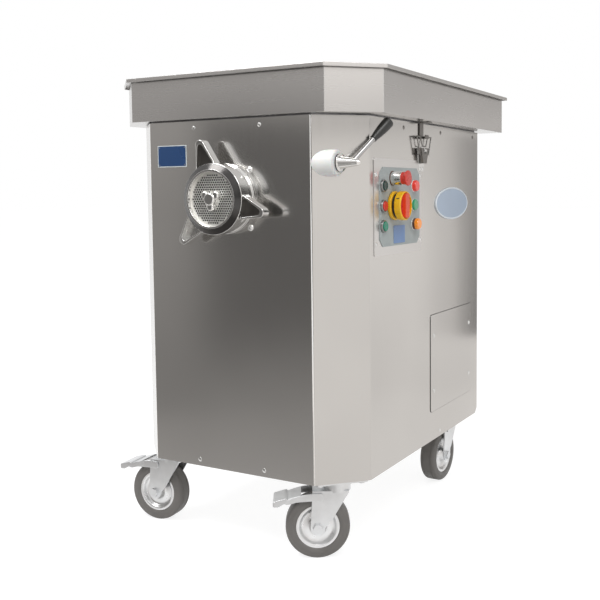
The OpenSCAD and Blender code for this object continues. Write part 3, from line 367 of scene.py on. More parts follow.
def lift(material, source, distance):
    """Adds a bump, on top of any bump that is there already."""
    tree = material.node_tree
    shader = tree.nodes["Principled BSDF"]
    bump = node_in(tree, "ShaderNodeBump", Strength=1.0, Distance=distance)
    if shader.inputs["Normal"].links:
        tree.links.new(shader.inputs["Normal"].links[0].from_socket, bump.inputs["Normal"])
    tree.links.new(source, bump.inputs["Height"])
    tree.links.new(bump.outputs["Normal"], shader.inputs["Normal"])


def shade(colour, factor):
    return tuple(min(1.0, c * factor) for c in colour)


print("finish tools ready")

# %% [markdown]
# ### Metals
#
# The cabinet and the tray are satin sheet: long soft waves left by the rolling mill bend the
# reflections, and a fine grain runs along the sheet. The head is polished by hand, so it keeps
# only a haze. Castors are zinc plated, which is paler, bluer and cloudier.

# %% Sheet steel
def sheet_steel(name, colour, low, high, grain):
    """Satin stainless sheet, with mill waves and a fine grain along it."""
    steel = new_finish(name, colour, metallic=1.0)
    vary_roughness(steel, noise(steel, 260, 3, grain), low, high)
    vary_colour(steel, noise(steel, 3, 2), shade(colour, 0.96), shade(colour, 1.04))
    lift(steel, noise(steel, 2.2, 1, (1, 1, 0.4)), 0.006)


sheet_steel("cabinet_steel", (0.6, 0.59, 0.575), 0.17, 0.19, (1, 1, 0.03))
sheet_steel("tray_steel", (0.6, 0.59, 0.58), 0.265, 0.275, (0.03, 0.03, 1))
# Much paler than the sheet: a painted glint for the two bends of the casing.
sheet_steel("painted_glint_steel", (0.93, 0.92, 0.9), 0.2, 0.22, (1, 1, 0.03))
sheet_steel("frame_plate", (0.66, 0.65, 0.64), 0.28, 0.32, (1, 1, 0.03))
print(len(finishes), "sheet steels")


# %% Other metals
def haze_metal(name, colour, low, high, scale, distance=0.0, metallic=1.0):
    """Metal whose haze is uneven, with an uneven surface where a distance is given."""
    metal = new_finish(name, colour, metallic=metallic)
    vary_roughness(metal, noise(metal, scale, 5), low, high)
    vary_colour(metal, noise(metal, scale / 3, 3), shade(colour, 0.93), shade(colour, 1.05))
    if distance:
        lift(metal, noise(metal, scale * 2, 3), distance)


haze_metal("polished_steel", (0.84, 0.835, 0.82), 0.05, 0.13, 40)
# Half as bright as the polished steel: a painted dark reflection for the lever's chrome.
haze_metal("chrome_painted_dark_reflection", (0.42, 0.415, 0.41), 0.05, 0.1, 60)
haze_metal("plate_steel", (0.9, 0.89, 0.86), 0.36, 0.5, 180)
# Near black: a painted dark reflection for the ring nut's bevel, not the colour of the steel.
haze_metal("painted_dark_reflection", (0.075, 0.072, 0.07), 0.16, 0.24, 80)
# Mid grey: the painted reflection in the lower left lug's pocket.
haze_metal("tool_steel", (0.52, 0.515, 0.5), 0.22, 0.38, 180)
haze_metal("fastener_steel", (0.7, 0.7, 0.69), 0.14, 0.26, 200)
haze_metal("zinc_steel", (0.72, 0.73, 0.74), 0.28, 0.45, 90, 0.0001)
haze_metal("rim_metal", (0.72, 0.72, 0.72), 0.24, 0.42, 70, 0.0001)
haze_metal("frame_steel", (0.36, 0.36, 0.37), 0.45, 0.6, 50, 0.0002)
haze_metal("cast_housing", (0.42, 0.42, 0.43), 0.45, 0.65, 120, 0.0006)
haze_metal("bronze", (0.62, 0.43, 0.2), 0.25, 0.4, 100)
# Dark steel: the latch levers' own colour, and painted shade on the keepers and on the screws under the tray's
# edge.
haze_metal("latch_dark", (0.2, 0.19, 0.18), 0.25, 0.42, 150)
haze_metal("wire_steel", (0.24, 0.235, 0.225), 0.2, 0.34, 150)
haze_metal("collar_grey", (0.3, 0.3, 0.295), 0.25, 0.4, 150)
# Near black: painted shade in the lug pockets, the holes of the plate and the lock shaft's bore.
haze_metal("painted_shade_dark", (0.06, 0.055, 0.05), 0.35, 0.5, 150, 0.0002, 0.6)
print(len(finishes), "finishes so far")

# %% [markdown]
# ### Plastics, paint, enamel and rubber
#
# A moulded plastic is even in colour with a slightly wavy skin. Thin marks of handling show as
# patches of other roughness. The tyres are a dark grey rubber with a coarser grain.

# %% Non-metals
def moulding(name, colour, roughness, scale=120, distance=0.00008, **sockets):
    plastic = new_finish(name, colour, roughness=roughness, **sockets)
    vary_roughness(plastic, noise(plastic, scale / 4, 4), roughness * 0.8, roughness * 1.25)
    vary_colour(plastic, noise(plastic, scale / 8, 2), shade(colour, 0.94), shade(colour, 1.04))
    lift(plastic, noise(plastic, scale, 2), distance)


moulding("white_nylon", (0.84, 0.84, 0.82), 0.38, Subsurface_Weight=0.15, Subsurface_Scale=0.004)
moulding("black_plastic", (0.022, 0.022, 0.02), 0.3, 300)
moulding("panel_grey", (0.41, 0.455, 0.455), 0.45, 600)
moulding("red_plastic", (0.72, 0.045, 0.03), 0.28)
moulding("green_plastic", (0.02, 0.26, 0.16), 0.28)
moulding("dark_green", (0.012, 0.05, 0.04), 0.22)
moulding("orange_plastic", (0.88, 0.24, 0.01), 0.24)
moulding("brown_plastic", (0.1, 0.03, 0.012), 0.3)
moulding("yellow_plastic", (1.0, 0.55, 0.004), 0.34)
# A brighter copy of the red plastic: a painted highlight on the switch's grip.
moulding("grip_painted_highlight_red", (0.88, 0.08, 0.02), 0.34)
moulding("blue_enamel", (0.012, 0.05, 0.15), 0.3, 80)
moulding("info_blue", (0.2, 0.32, 0.58), 0.45, 300)
moulding("pale_badge", (0.46, 0.56, 0.7), 0.18, 40)
moulding("plate_border", (0.62, 0.66, 0.66), 0.35, 80)
# Near white: a painted highlight for the badge's rim.
moulding("badge_rim_painted_highlight", (0.8, 0.86, 0.92), 0.2, 40)
moulding("red_lens", (0.8, 0.03, 0.02), 0.12, Coat_Weight=0.5,
         Emission_Strength=0.15, Emission_Color=(1, 0.1, 0.05, 1))
moulding("green_lens", (0.02, 0.36, 0.16), 0.12, Coat_Weight=0.5)
moulding("orange_lens", (0.98, 0.27, 0.01), 0.16, Coat_Weight=0.5,
         Emission_Strength=0.15, Emission_Color=(1, 0.4, 0.05, 1))
moulding("gear_paint", (0.14, 0.19, 0.24), 0.45, 90, 0.0003)
moulding("motor_paint", (0.06, 0.08, 0.1), 0.5, 90, 0.0003)
moulding("tyre_rubber", (0.165, 0.155, 0.145), 0.5, 260, 0.0002)
for node, thing in nodes.items():
    thing.data.materials.clear()
    thing.data.materials.append(finishes[slot_of[node]])
print(len(finishes), "finishes,", len(nodes), "nodes coated")

# %% [markdown]
# ## The cabinet
#
# The front and its two slanted corners are one sheet, bent on a press brake, which leaves two
# round bends. They look brighter than the sheet, so they have their own much paler finish, a
# painted glint. The flat parts are shaded flat: on so large a mirror a small error of the normals
# shows as a kink.

# %% Casing
BEND_RADIUS, BEND_REACH = 2.2 * MM, 1.6 * MM


def is_bend(edge):
    """Tells the two upright bends from the sheet's other edges."""
    a, b = (v.co for v in edge.verts)
    return abs(a.z - b.z) > (top_z - bottom_z) * 0.9 and abs(abs(a.x) - flat_x) < 5 * MM


def on_bend(c):
    """Tells the round strip of a bend from the flat sheet."""
    return abs(abs(c.x) - flat_x) < BEND_REACH and c.y < front_y + 2 * MM


casing = copy_of("front_casing")
soften(casing, BEND_RADIUS, 4, 30, is_bend)
# The round strips of the bends get the painted glint finish.
casing_sheet = stand_in(casing, "casing_sheet", "front_casing", patch=("painted_glint_steel", on_bend))
for face in casing_sheet.data.polygons:
    face.use_smooth = on_bend(face.center)

# %% [markdown]
# The other panels only lose their cut edge. The service cover lies on a thin dark gasket, which
# shows as a line all round it.

# %% Panels and gasket
for node in ("right_panel", "left_panel", "rear_panel", "base_plate", "service_cover"):
    dress(node, 0.4 * MM, 2, 60)

GASKET_MARGIN, GASKET_CORNER, GASKET_THICK = 2, 7, 0.6
cover_size = extent("service_cover")
gasket = raise_outline(rounded_outline(cover_size.y + GASKET_MARGIN, cover_size.z + GASKET_MARGIN,
                                       GASKET_CORNER), GASKET_THICK)
cover_face = side_frame(middle("service_cover").y, middle("service_cover").z)
keep(gasket, "cover_gasket", "black_plastic", place=cover_face)

# %% [markdown]
# ## The feed tray
#
# The tray is folded and welded from the same sheet, with its rim turned out and down. Its upright
# corners are bends too, and the rim shows a rounded edge all round.

# %% Tray
dress("tray", 0.7 * MM, 3, 30)

# %% [markdown]
# ## Ring nut
#
# The ring nut is what a butcher grips, so all its edges are round and polished. Seen from the
# front it has a thin bright outer edge, a broad dark bevel and a thin bright lip round the plate.
# Turning its outline about the axis gives all three; the bevel is near black, a painted dark
# reflection. Each of the three lugs is a slab with a deep pocket: two layers make it, a full one
# below and a pierced one above.

# %% Ring of the nut
nut_low, nut_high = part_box("ring_nut")
nut_front = (front_y - nut_low.y) / MM
nut_back = (front_y - nut_high.y) / MM
NUT_RADIUS, NUT_OPENING, NUT_SEAT, LIP = 68, 52, 60.3, 5
BEVEL_IN, BEVEL_DEEP, BEVEL_SLOPE = 55.5, 7.8, 58
nut_face = head_frame(front_y)

ring = revolve([(NUT_SEAT, nut_back), *arc(NUT_RADIUS - 1.5, nut_back + 1.5, 1.5, -90, 0, 4),
                *arc(NUT_RADIUS - 1.2, nut_front - BEVEL_DEEP - 0.7, 1.2, 0, BEVEL_SLOPE, 4),
                *arc(BEVEL_IN, nut_front - 1.1, 1.1, BEVEL_SLOPE, 90, 3),
                *arc(NUT_OPENING + 1, nut_front - 1, 1, 90, 180, 4),
                (NUT_OPENING, nut_front - LIP), (NUT_SEAT, nut_front - LIP)], 120, closed=True)
print(f"ring nut {2 * NUT_RADIUS} mm across and {nut_front - nut_back:.0f} mm long")

# %% Lugs of the nut
LUG_TIP_AT, LUG_TIP, LUG_ROOT_AT, LUG_ROOT = 107, 10, 63, 24
LUG_HEIGHT, LUG_FLOOR, LUG_BACK = 20, 6, 1.5
POCKET_FROM, POCKET_TO, POCKET_WALL, LINER_WALL = LUG_ROOT_AT + 1, LUG_TIP_AT - 5, 3.4, 3.7
LOW_LUG = 226.5
lug_angles = (106.5, LOW_LUG, 346.5)


def lug_outline(start, end, root, tip):
    """A long trapezium from the nut outwards, with a round end."""
    slope = atan2(root - tip, end - start)
    return [(start, -root), *arc(end, 0, tip, -90 + degrees(slope), 90 - degrees(slope), 12),
            (start, root)]


for angle in lug_angles:
    place = turned(angle, "Z") @ along(nut_back + LUG_BACK)
    whole = lug_outline(LUG_ROOT_AT, LUG_TIP_AT, LUG_ROOT, LUG_TIP)
    pocket = lug_outline(POCKET_FROM, POCKET_TO, LUG_ROOT - POCKET_WALL, LUG_TIP - POCKET_WALL)
    lining = lug_outline(POCKET_FROM, POCKET_TO, LUG_ROOT - LINER_WALL, LUG_TIP - LINER_WALL)
    low = raise_outline(whole, LUG_FLOOR)
    soften(low, 1.4, 3, 60, lambda e: all(v.co.z < 0.1 for v in e.verts))
    add_shell(ring, low, place)
    high = pierced(whole, [pocket], LUG_HEIGHT - LUG_FLOOR)
    soften(high, 1.5, 3, 60, lambda e: all(v.co.z > LUG_HEIGHT - LUG_FLOOR - 0.1 for v in e.verts))
    add_shell(ring, high, place @ along(LUG_FLOOR))
    # A thin liner on each pocket's floor paints its shade near black; the lower left one is a paler painted
    # reflection.
    keep(raise_outline(lining, 0.4), f"lug_pocket_painted_light_{angle:.0f}", "polished_steel", "ring_nut",
         nut_face @ place @ along(LUG_FLOOR),
         finish="tool_steel" if angle == LOW_LUG else "painted_shade_dark")


def on_bevel(c):
    return (nut_front - BEVEL_DEEP < c.z < nut_front - 0.3
            and BEVEL_IN + 0.6 < c.xy.length < NUT_RADIUS - 0.7)


# The bevel's faces get the painted dark reflection.
stand_in(ring, "ring_nut_forged", "ring_nut", nut_face, patch=("painted_dark_reflection", on_bevel))

# %% [markdown]
# ## Hole plate, shaft nut and barrel
#
# The plate is drilled with 3.6 mm holes on a triangular grid, finer than the plain construction
# shows. One flat face with all the circles cut out of it is filled, then raised: the walls of the
# holes come with it, and no cutting is needed. The drilled field lies a little behind its rim.

# %% Hole plate
HOLE, PITCH, FIELD_IN, FIELD_OUT = 1.8, 5.2, 14.5, 49
STUB, RECESSED = 10, 4
plate_low, plate_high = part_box("hole_plate")
plate_radius = (plate_high.x - plate_low.x) / 2 / MM
plate_thick = (plate_high.y - plate_low.y) / MM
rows = int(FIELD_OUT / PITCH) + 2
grid = [Vector((PITCH * (i + (j % 2) / 2), PITCH * j * sin(radians(60))))
        for j in range(-rows - 2, rows + 3) for i in range(-rows, rows + 1)]
spots = [s for s in grid if FIELD_IN < s.length < FIELD_OUT - HOLE]
plate = pierced(ring_of(0, 0, NUT_OPENING, 96), [ring_of(0, 0, STUB, 32)]
                + [ring_of(s.x, s.y, HOLE, 10) for s in spots], plate_thick - RECESSED)
rim_of_plate = pierced(ring_of(0, 0, plate_radius, 96), [ring_of(0, 0, NUT_OPENING, 96)], plate_thick)
add_shell(plate, rim_of_plate)


# The walls of the holes are painted shade: near black.
def in_hole(c):
    return 0 < c.z < plate_thick - RECESSED and c.xy.length < NUT_OPENING - 1


stand_in(plate, "plate_drilled", "hole_plate", head_frame(plate_high.y), "plate_steel",
         patch=("painted_shade_dark", in_hole))
print(len(spots), "holes")

# %% Shaft nut
HUB, LOBE, LOBE_AT = 12.5, 8, 14.5
stub_low, stub_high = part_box("shaft_nut")
stub_out = (stub_high.y - stub_low.y) / MM
shaft_nut = revolve([(0, -RECESSED), (HUB, -RECESSED), (HUB, stub_out - 4),
                     *arc(HUB - 4, stub_out - 4, 4, 0, 90, 5), (0, stub_out)], 48)
for angle in (30, 150, 270):
    lobe = revolve([(0, -RECESSED), (LOBE, -RECESSED), *arc(3.9, 2.6, 4.5, 0, 90, 6), (0, 7.1)], 32)
    around = turned(angle, "Z") @ Matrix.Translation((LOBE_AT, 0, 0))
    add_shell(shaft_nut, lobe, around)
stand_in(shaft_nut, "shaft_nut_forged", "shaft_nut", head_frame(stub_high.y))

# %% Barrel, knife and bush
barrel = copy_of("barrel")
soften(barrel, 1.2 * MM, 4, 60, lambda e: all(v.co.y < front_y + 0.1 * MM for v in e.verts))
stand_in(barrel, "barrel_turned", "barrel")
dress("knife", 0.4 * MM, 2, 60)
dress("worm_bush", 0.5 * MM, 2, 60)

# %% [markdown]
# ## Head lock
#
# A white plastic bush with a well rounded end carries the lock shaft. Outside it come a dark gap, a
# chromed washer, the conical hub and the rod of the lever. The gap is painted shade: the shaft is
# near black inside the bush and just past its end. The lever's chrome is darker than the head's, a
# painted dark reflection. The black grip is a lathe form, thin at the ferrule and thick towards its
# flat end.

# %% Bush, hub and rod
BUSH_NOSE, BUSH_BODY, BUSH_TAIL, LOCK_BORE = 4.5, 24.5, 18.5, 12.05
bush_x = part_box("lock_bush")[1].x
lock_y, lock_z = middle("lock_bush").yz
bush = revolve([(LOCK_BORE, -85), (BUSH_TAIL, -85), (BUSH_TAIL, -45), (BUSH_BODY, -45),
                (BUSH_BODY, -BUSH_NOSE), *arc(BUSH_BODY - BUSH_NOSE, -BUSH_NOSE, BUSH_NOSE, 0, 90, 8),
                (13.4, 0), (LOCK_BORE, -1.2)], 96, closed=True)
stand_in(bush, "lock_bush_turned", "lock_bush", side_frame(lock_y, lock_z, bush_x))
# The shaft is painted shade, near black, inside the bush and just past its end.
dress("lock_shaft", 0.7 * MM, 3, 28, patch=("painted_shade_dark", lambda c: c.x < bush_x + 2.5 * MM))
# The lever's darker chrome is a painted dark reflection.
dress("lever_arm", 0.5 * MM, 2, 50, finish="chrome_painted_dark_reflection")

# %% Grip
LIFT, LEAN, ARM_X = 43, 17, 262.35
GRIP_START, GRIP_LEN, GRIP, GRIP_NECK = 66.55, 54.45, 10.8, 6.8
arm_origin = Vector((ARM_X * MM, lock_y, lock_z))
lever_face = (Matrix.Translation(arm_origin) @ turned(LIFT, "X") @ turned(-LEAN, "Z")
              @ turned(-90, "X") @ Matrix.Scale(MM, 4) @ along(GRIP_START))
swell = [(GRIP_NECK + (GRIP - GRIP_NECK) * sin(radians(a)), GRIP_LEN * (0.08 + 0.76 * a / 90))
         for a in range(0, 91, 9)]
crown = [*arc(GRIP - 4, GRIP_LEN - 5, 4, 0, 90, 6), (GRIP - 6, GRIP_LEN - 0.3)]
grip = revolve([(4.75, 0.4), (GRIP_NECK - 0.8, 0), (GRIP_NECK, 0.9), *swell, *crown, (0, GRIP_LEN)], 48)
stand_in(grip, "grip_moulded", "lever_grip", lever_face)

# %% [markdown]
# ## Controls
#
# Two plates lie on the side panel, a bright outer one and a grey inner one with cut corners. On
# the inner one sit the emergency stop, three push buttons, three lamps and the main switch. All
# of them are lathe forms, drawn as outlines of radius and height above the inner plate.

# %% Plates
PLATE_SHORTER, PLATE_FOOT = 10 * MM, 18 * MM
for node in ("control_plate", "control_panel"):
    cut_plate = copy_of(node)
    foot_z = min(v.co.z for v in cut_plate.verts)
    for v in cut_plate.verts:
        if v.co.z < foot_z + PLATE_FOOT:
            v.co.z += PLATE_SHORTER
    soften(cut_plate, 0.35 * MM, 2, 60)
    stand_in(cut_plate, node + "_cut", node)

# %% Collars and sleeve
panel_face_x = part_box("control_panel")[1].x
button_nodes = ("black_button", "red_button", "green_button")
lamp_nodes = ("lamp_red", "lamp_green", "lamp_orange")
COLLAR, CAP, COLLAR_OUT = 12, 9.2, 5


def panel_frame(node):
    return side_frame(middle(node).y, middle(node).z, panel_face_x)


def reach_of(node):
    """How far a node reaches from the inner plate, inwards and outwards, in millimetres."""
    low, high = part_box(node)
    return (low.x - panel_face_x) / MM, (high.x - panel_face_x) / MM


collars = bmesh.new()
for node in button_nodes:
    collar = revolve([(CAP + 0.35, 0), (COLLAR, 0), (COLLAR, 2.2),
                      *arc(COLLAR - 1.6, COLLAR_OUT - 1.6, 1.6, 0, 90, 4),
                      (CAP + 0.9, COLLAR_OUT), (CAP + 0.35, COLLAR_OUT - 0.6)], 48, closed=True)
    add_shell(collars, collar, panel_frame(node))
for node in lamp_nodes:
    base = revolve([(CAP, 0), (COLLAR, 0), (COLLAR, 1.4), (COLLAR - 0.6, 2), (CAP, 2)], 48, closed=True)
    add_shell(collars, base, panel_frame(node))
SLEEVE, SLEEVE_WALL, SLEEVE_OUT = 13.3, 0.7, 22.5
sleeve = revolve([(SLEEVE - SLEEVE_WALL, 0), (SLEEVE, 0),
                  *arc(SLEEVE - 0.3, SLEEVE_OUT - 0.3, 0.3, 0, 90, 3),
                  (SLEEVE - SLEEVE_WALL, SLEEVE_OUT)], 64, closed=True)
add_shell(collars, sleeve, panel_frame("estop_button"))


def on_button(c):
    return any((c.yz - middle(node).yz).length < COLLAR * MM + MM for node in button_nodes)


stand_in(collars, "collars_turned", "control_collars", patch=("collar_grey", on_button))

# %% Buttons
cap_colours = {"black_button": "dark_green", "red_button": "red_plastic", "green_button": "green_plastic"}
STEM, CAP_BACK, CAP_OUT = 4, 3.3, 7.5
for node in button_nodes:
    stem_back = reach_of(node)[0]
    cap = revolve([(0, stem_back), (STEM, stem_back), (STEM, CAP_BACK), (CAP, CAP_BACK),
                   (CAP, CAP_OUT - 1.4), *arc(CAP - 1.2, CAP_OUT - 1.2, 1.2, 0, 90, 4),
                   (CAP - 2.2, CAP_OUT - 0.4), (0, CAP_OUT - 0.9)], 48)
    stand_in(cap, node + "_moulded", node, panel_frame(node), cap_colours[node])

# %% Lamps
lamp_colours = {"lamp_red": "red_lens", "lamp_green": "green_lens", "lamp_orange": "orange_lens"}
LENS, LAMP_SEAT, RIBBED_SEAT = COLLAR - 0.4, 2, 7.2
for node in lamp_nodes:
    out = reach_of(node)[1]
    seat = LAMP_SEAT
    if node == "lamp_orange":
        seat = RIBBED_SEAT
        ribs = [(LENS - 0.5 * (i % 2), LAMP_SEAT + i * 0.65) for i in range(9)]
        foot = revolve([(CAP, LAMP_SEAT), *ribs, (CAP, RIBBED_SEAT)], 48, closed=True)
        keep(foot, node + "_foot", "orange_plastic", place=panel_frame(node), finish="brown_plastic")
    lens = revolve([(0, 0), (CAP - 0.3, 0), (CAP - 0.3, seat), (LENS, seat),
                    (LENS, seat + (out - seat) * 0.62), (LENS * 0.93, out - 0.9),
                    (LENS * 0.86, out), (0, out)], 48 if node == "lamp_green" else 12)
    stand_in(lens, node + "_lens", node, panel_frame(node), lamp_colours[node])

# %% [markdown]
# The emergency stop is a red cap that flares to its rim, on a neck inside a thin bright sleeve.
# The main switch is a yellow drum with a groove round it, and a red disc with a grip across
# it. The groove is black: painted shade, as the yellow housing lies in shadow there. The grip is a
# brighter red than the disc, a painted highlight. Only the cap, and the disc with its grip, ride on
# the bodies that move.

# %% Emergency stop
ESTOP, NECK = 15, 12.2
stop_face = panel_frame("estop_button")
stop_back, stop_out = reach_of("estop_button")
stop = revolve([(0, stop_back), (STEM, stop_back), (STEM, 12), (NECK, 13), (NECK, SLEEVE_OUT + 5.3),
                (NECK + 0.5, SLEEVE_OUT + 7), (NECK + 1.4, SLEEVE_OUT + 9), (ESTOP - 0.3, stop_out - 4),
                *arc(ESTOP - 1.2, stop_out - 2.1, 1.2, 0, 70, 5), (ESTOP - 2.4, stop_out - 0.6),
                (8, stop_out - 0.2), (0, stop_out)], 64)
stand_in(stop, "estop_moulded", "estop_button", stop_face)
foot_ring = revolve([(SLEEVE, 0), (SLEEVE + 0.9, 0), (SLEEVE + 0.9, 1.4), (SLEEVE, 1.9)], 64, closed=True)
keep(foot_ring, "estop_foot", "red_plastic", place=stop_face, finish="brown_plastic")

# %% Main switch
DRUM, BASE, GAP_END, DRUM_OUT, RECESS, GROOVE = 28.5, 7.5, 14, 28, 8, 24
housing = revolve([(0, 0), (DRUM - 1, 0), *arc(DRUM - 2.5, 2.5, 2.5, -90, 0, 4),
                   *arc(DRUM - 2.5, BASE - 2.5, 2.5, 0, 90, 5), (0, BASE)], 96)
groove = revolve([(0, BASE - 0.5), (GROOVE, BASE - 0.5), (GROOVE, GAP_END + 0.5), (0, GAP_END + 0.5)], 96)
drum = revolve([(0, GAP_END), (DRUM - 1.6, GAP_END), *arc(DRUM - 1.6, GAP_END + 1.6, 1.6, -90, 0, 4),
                *arc(DRUM - 2.6, DRUM_OUT - 2.6, 2.6, 0, 90, 6), (DRUM - 3.3, DRUM_OUT - 0.5),
                (DRUM - 3.4, DRUM_OUT - RECESS), (0, DRUM_OUT - RECESS)], 96)
add_shell(housing, drum)
switch_face = panel_frame("switch_housing")
stand_in(housing, "switch_drum", "switch_housing", switch_face)
# Black plastic in the groove is painted shade on the yellow housing.
keep(groove, "switch_groove_painted_shade", "black_plastic", place=switch_face)
MARK_X, MARK_Y, MARK_THICK = 3.2, 1.2, 0.6
mark = raise_outline([(-MARK_X, -MARK_Y), (MARK_X, -MARK_Y), (MARK_X, MARK_Y), (-MARK_X, MARK_Y)],
                     MARK_THICK)
mark_place = (switch_face @ along((GAP_END + DRUM_OUT) / 2) @ turned(150, "Z") @ turned(90, "Y")
              @ along(DRUM - MARK_THICK))
keep(mark, "switch_mark", "black_plastic", place=mark_place)

# %% Knob of the switch
KNOB, GRIP_HALF, GRIP_FOOT, KNOB_OUT = 24.8, 9, 7, DRUM_OUT - 3.2
knob_back, knob_out = reach_of("switch_knob")
knob = revolve([(0, knob_back), (STEM, knob_back), (STEM, DRUM_OUT - RECESS + 0.3),
                (KNOB, DRUM_OUT - RECESS + 0.3), (KNOB, DRUM_OUT - 4), (KNOB - 0.8, KNOB_OUT),
                (0, KNOB_OUT)], 64)
span = degrees(atan2(GRIP_HALF, (KNOB ** 2 - GRIP_HALF ** 2) ** 0.5))
ends = [point for middle_angle in (90, 270)
        for point in arc(0, 0, KNOB - 0.6, middle_angle - span, middle_angle + span, 10)]
blade = raise_outline(ends, knob_out - DRUM_OUT + GRIP_FOOT)
soften(blade, 1.5, 3, 60, lambda e: all(v.co.z > 1 for v in e.verts))
# The grip's brighter red is a painted highlight.
keep(blade, "switch_grip", "red_plastic", "switch_knob",
     switch_face @ along(DRUM_OUT - GRIP_FOOT), finish="grip_painted_highlight_red")
stand_in(knob, "switch_disc", "switch_knob", switch_face)

# %% [markdown]
# ## Plates and badge
#
# The blue plate on the front has a pale border and four rivets, the small one on the controls is
# plain, and the oval badge has a raised rim, whose near-white finish is a painted highlight. All
# three are thin outlines raised by a millimetre or so, because only their edges and their colour show.

# %% Thin plates
def plaque(node, inset, thick):
    """A thin plate of a node's size, with round corners."""
    size = extent(node)
    outline = rounded_outline(max(size.x, size.y) - 2 * inset, size.z - 2 * inset, 1.5)
    return raise_outline(outline, thick)


rating_face = front_frame(middle("rating_plate").x, front_y, middle("rating_plate").z)
stand_in(plaque("rating_plate", 0, 0.8), "rating_border", "rating_plate", rating_face, "plate_border")
keep(plaque("rating_plate", 1.6, 0.9), "rating_field", "blue_enamel", place=rating_face)
PIN_INSET = 4.5
rating_size = extent("rating_plate")
pins = bmesh.new()
for x in (-1, 1):
    for y in (-1, 1):
        pin = revolve([(0, 0.5), (1.9, 0.5), (1.7, 0.85), (0, 1)], 24)
        add_shell(pins, pin, Matrix.Translation((x * (rating_size.x / 2 - PIN_INSET),
                                                 y * (rating_size.z / 2 - PIN_INSET), 0)))
keep(pins, "rating_pins", "fastener_steel", place=rating_face)
stand_in(plaque("info_plate", 0, 1), "info_field", "info_plate", panel_frame("info_plate"), "info_blue")

# %% Badge
badge_size = extent("oval_badge")


def oval(inset):
    return [((badge_size.y / 2 - inset) * cos(a), (badge_size.z / 2 - inset) * sin(a))
            for a in (tau * i / 96 for i in range(96))]


badge_face = side_frame(middle("oval_badge").y, middle("oval_badge").z)
rim = pierced(oval(0), [oval(4)], badge_size.x)
soften(rim, 0.9, 3, 60)
# The rim's near-white is a painted highlight.
stand_in(rim, "badge_rim", "oval_badge", badge_face, "badge_rim_painted_highlight")
keep(raise_outline(oval(3.5), badge_size.x - 0.7), "badge_field", "pale_badge", place=badge_face)

# %% [markdown]
# ## Fasteners and latches
#
# Rivets and screws keep their solids, with a finer edge. The latches pull the tray down on the
# cabinet: a lever on each side, a wire bail in it, and a keeper under the tray's edge. The latch in
# the photograph is narrower than the solids, so all that lies beside their middle is drawn inwards.

# %% Fasteners and keepers
SCREW_DEPTH, SCREW_ROW = 4 * MM, 40 * MM
# The top row of screws, under the tray's edge, is painted shade: near black.
dress("panel_fasteners", 0.35 * MM, 2, 50,
      patch=("latch_dark", lambda c: abs(c.x) > side_x - SCREW_DEPTH and c.z > top_z - SCREW_ROW))
keeper_foot = middle("latch_bail_right").z + 10 * MM
# The keeper, above the bail, is painted shade in the same dark finish.
fixings = copy_of("latch_fixings")
soften(fixings, 0.4 * MM, 2, 50)
stand_in(fixings, "latch_fixings_dressed", "latch_fixings",
         patch=("latch_dark", lambda c: c.z > keeper_foot))

# %% Levers and bails
LATCH_STRAIGHT, LATCH_SHARE = 7 * MM, 0.62
latch_y = middle("latch_lever_right").y
latch_finishes = {"lever": "latch_dark", "bail": "wire_steel"}
for side in ("right", "left"):
    for kind in latch_finishes:
        node = f"latch_{kind}_{side}"
        piece = copy_of(node)
        for v in piece.verts:
            aside = abs(v.co.y - latch_y) - LATCH_STRAIGHT
            if aside > 0:
                drawn = LATCH_STRAIGHT + aside * LATCH_SHARE
                v.co.y = latch_y + (drawn if v.co.y > latch_y else -drawn)
        if kind == "lever":
            soften(piece, 0.7 * MM, 3, 50)
        stand_in(piece, node + "_pressed", node, finish=latch_finishes[kind])

# %% [markdown]
# ## Castors
#
# A castor's fork is pressed from thick sheet, so its edges are rounded.

# %% Forks and top plates
for corner in ("front_right", "front_left", "rear_right", "rear_left"):
    dress(f"fork_{corner}", 1.0 * MM, 3, 35)
dress("castor_plates", 0.6 * MM, 2, 50)

# %% [markdown]
# The brake pedal is a folded sheet: two cheeks hang on the brake's pin, a bridge joins them, and a
# broad foot sticks out. Each is an outline seen from the side and raised across the pedal. The
# frame gives the pin, and the way from the swivel to the wheel gives the pedal's direction.

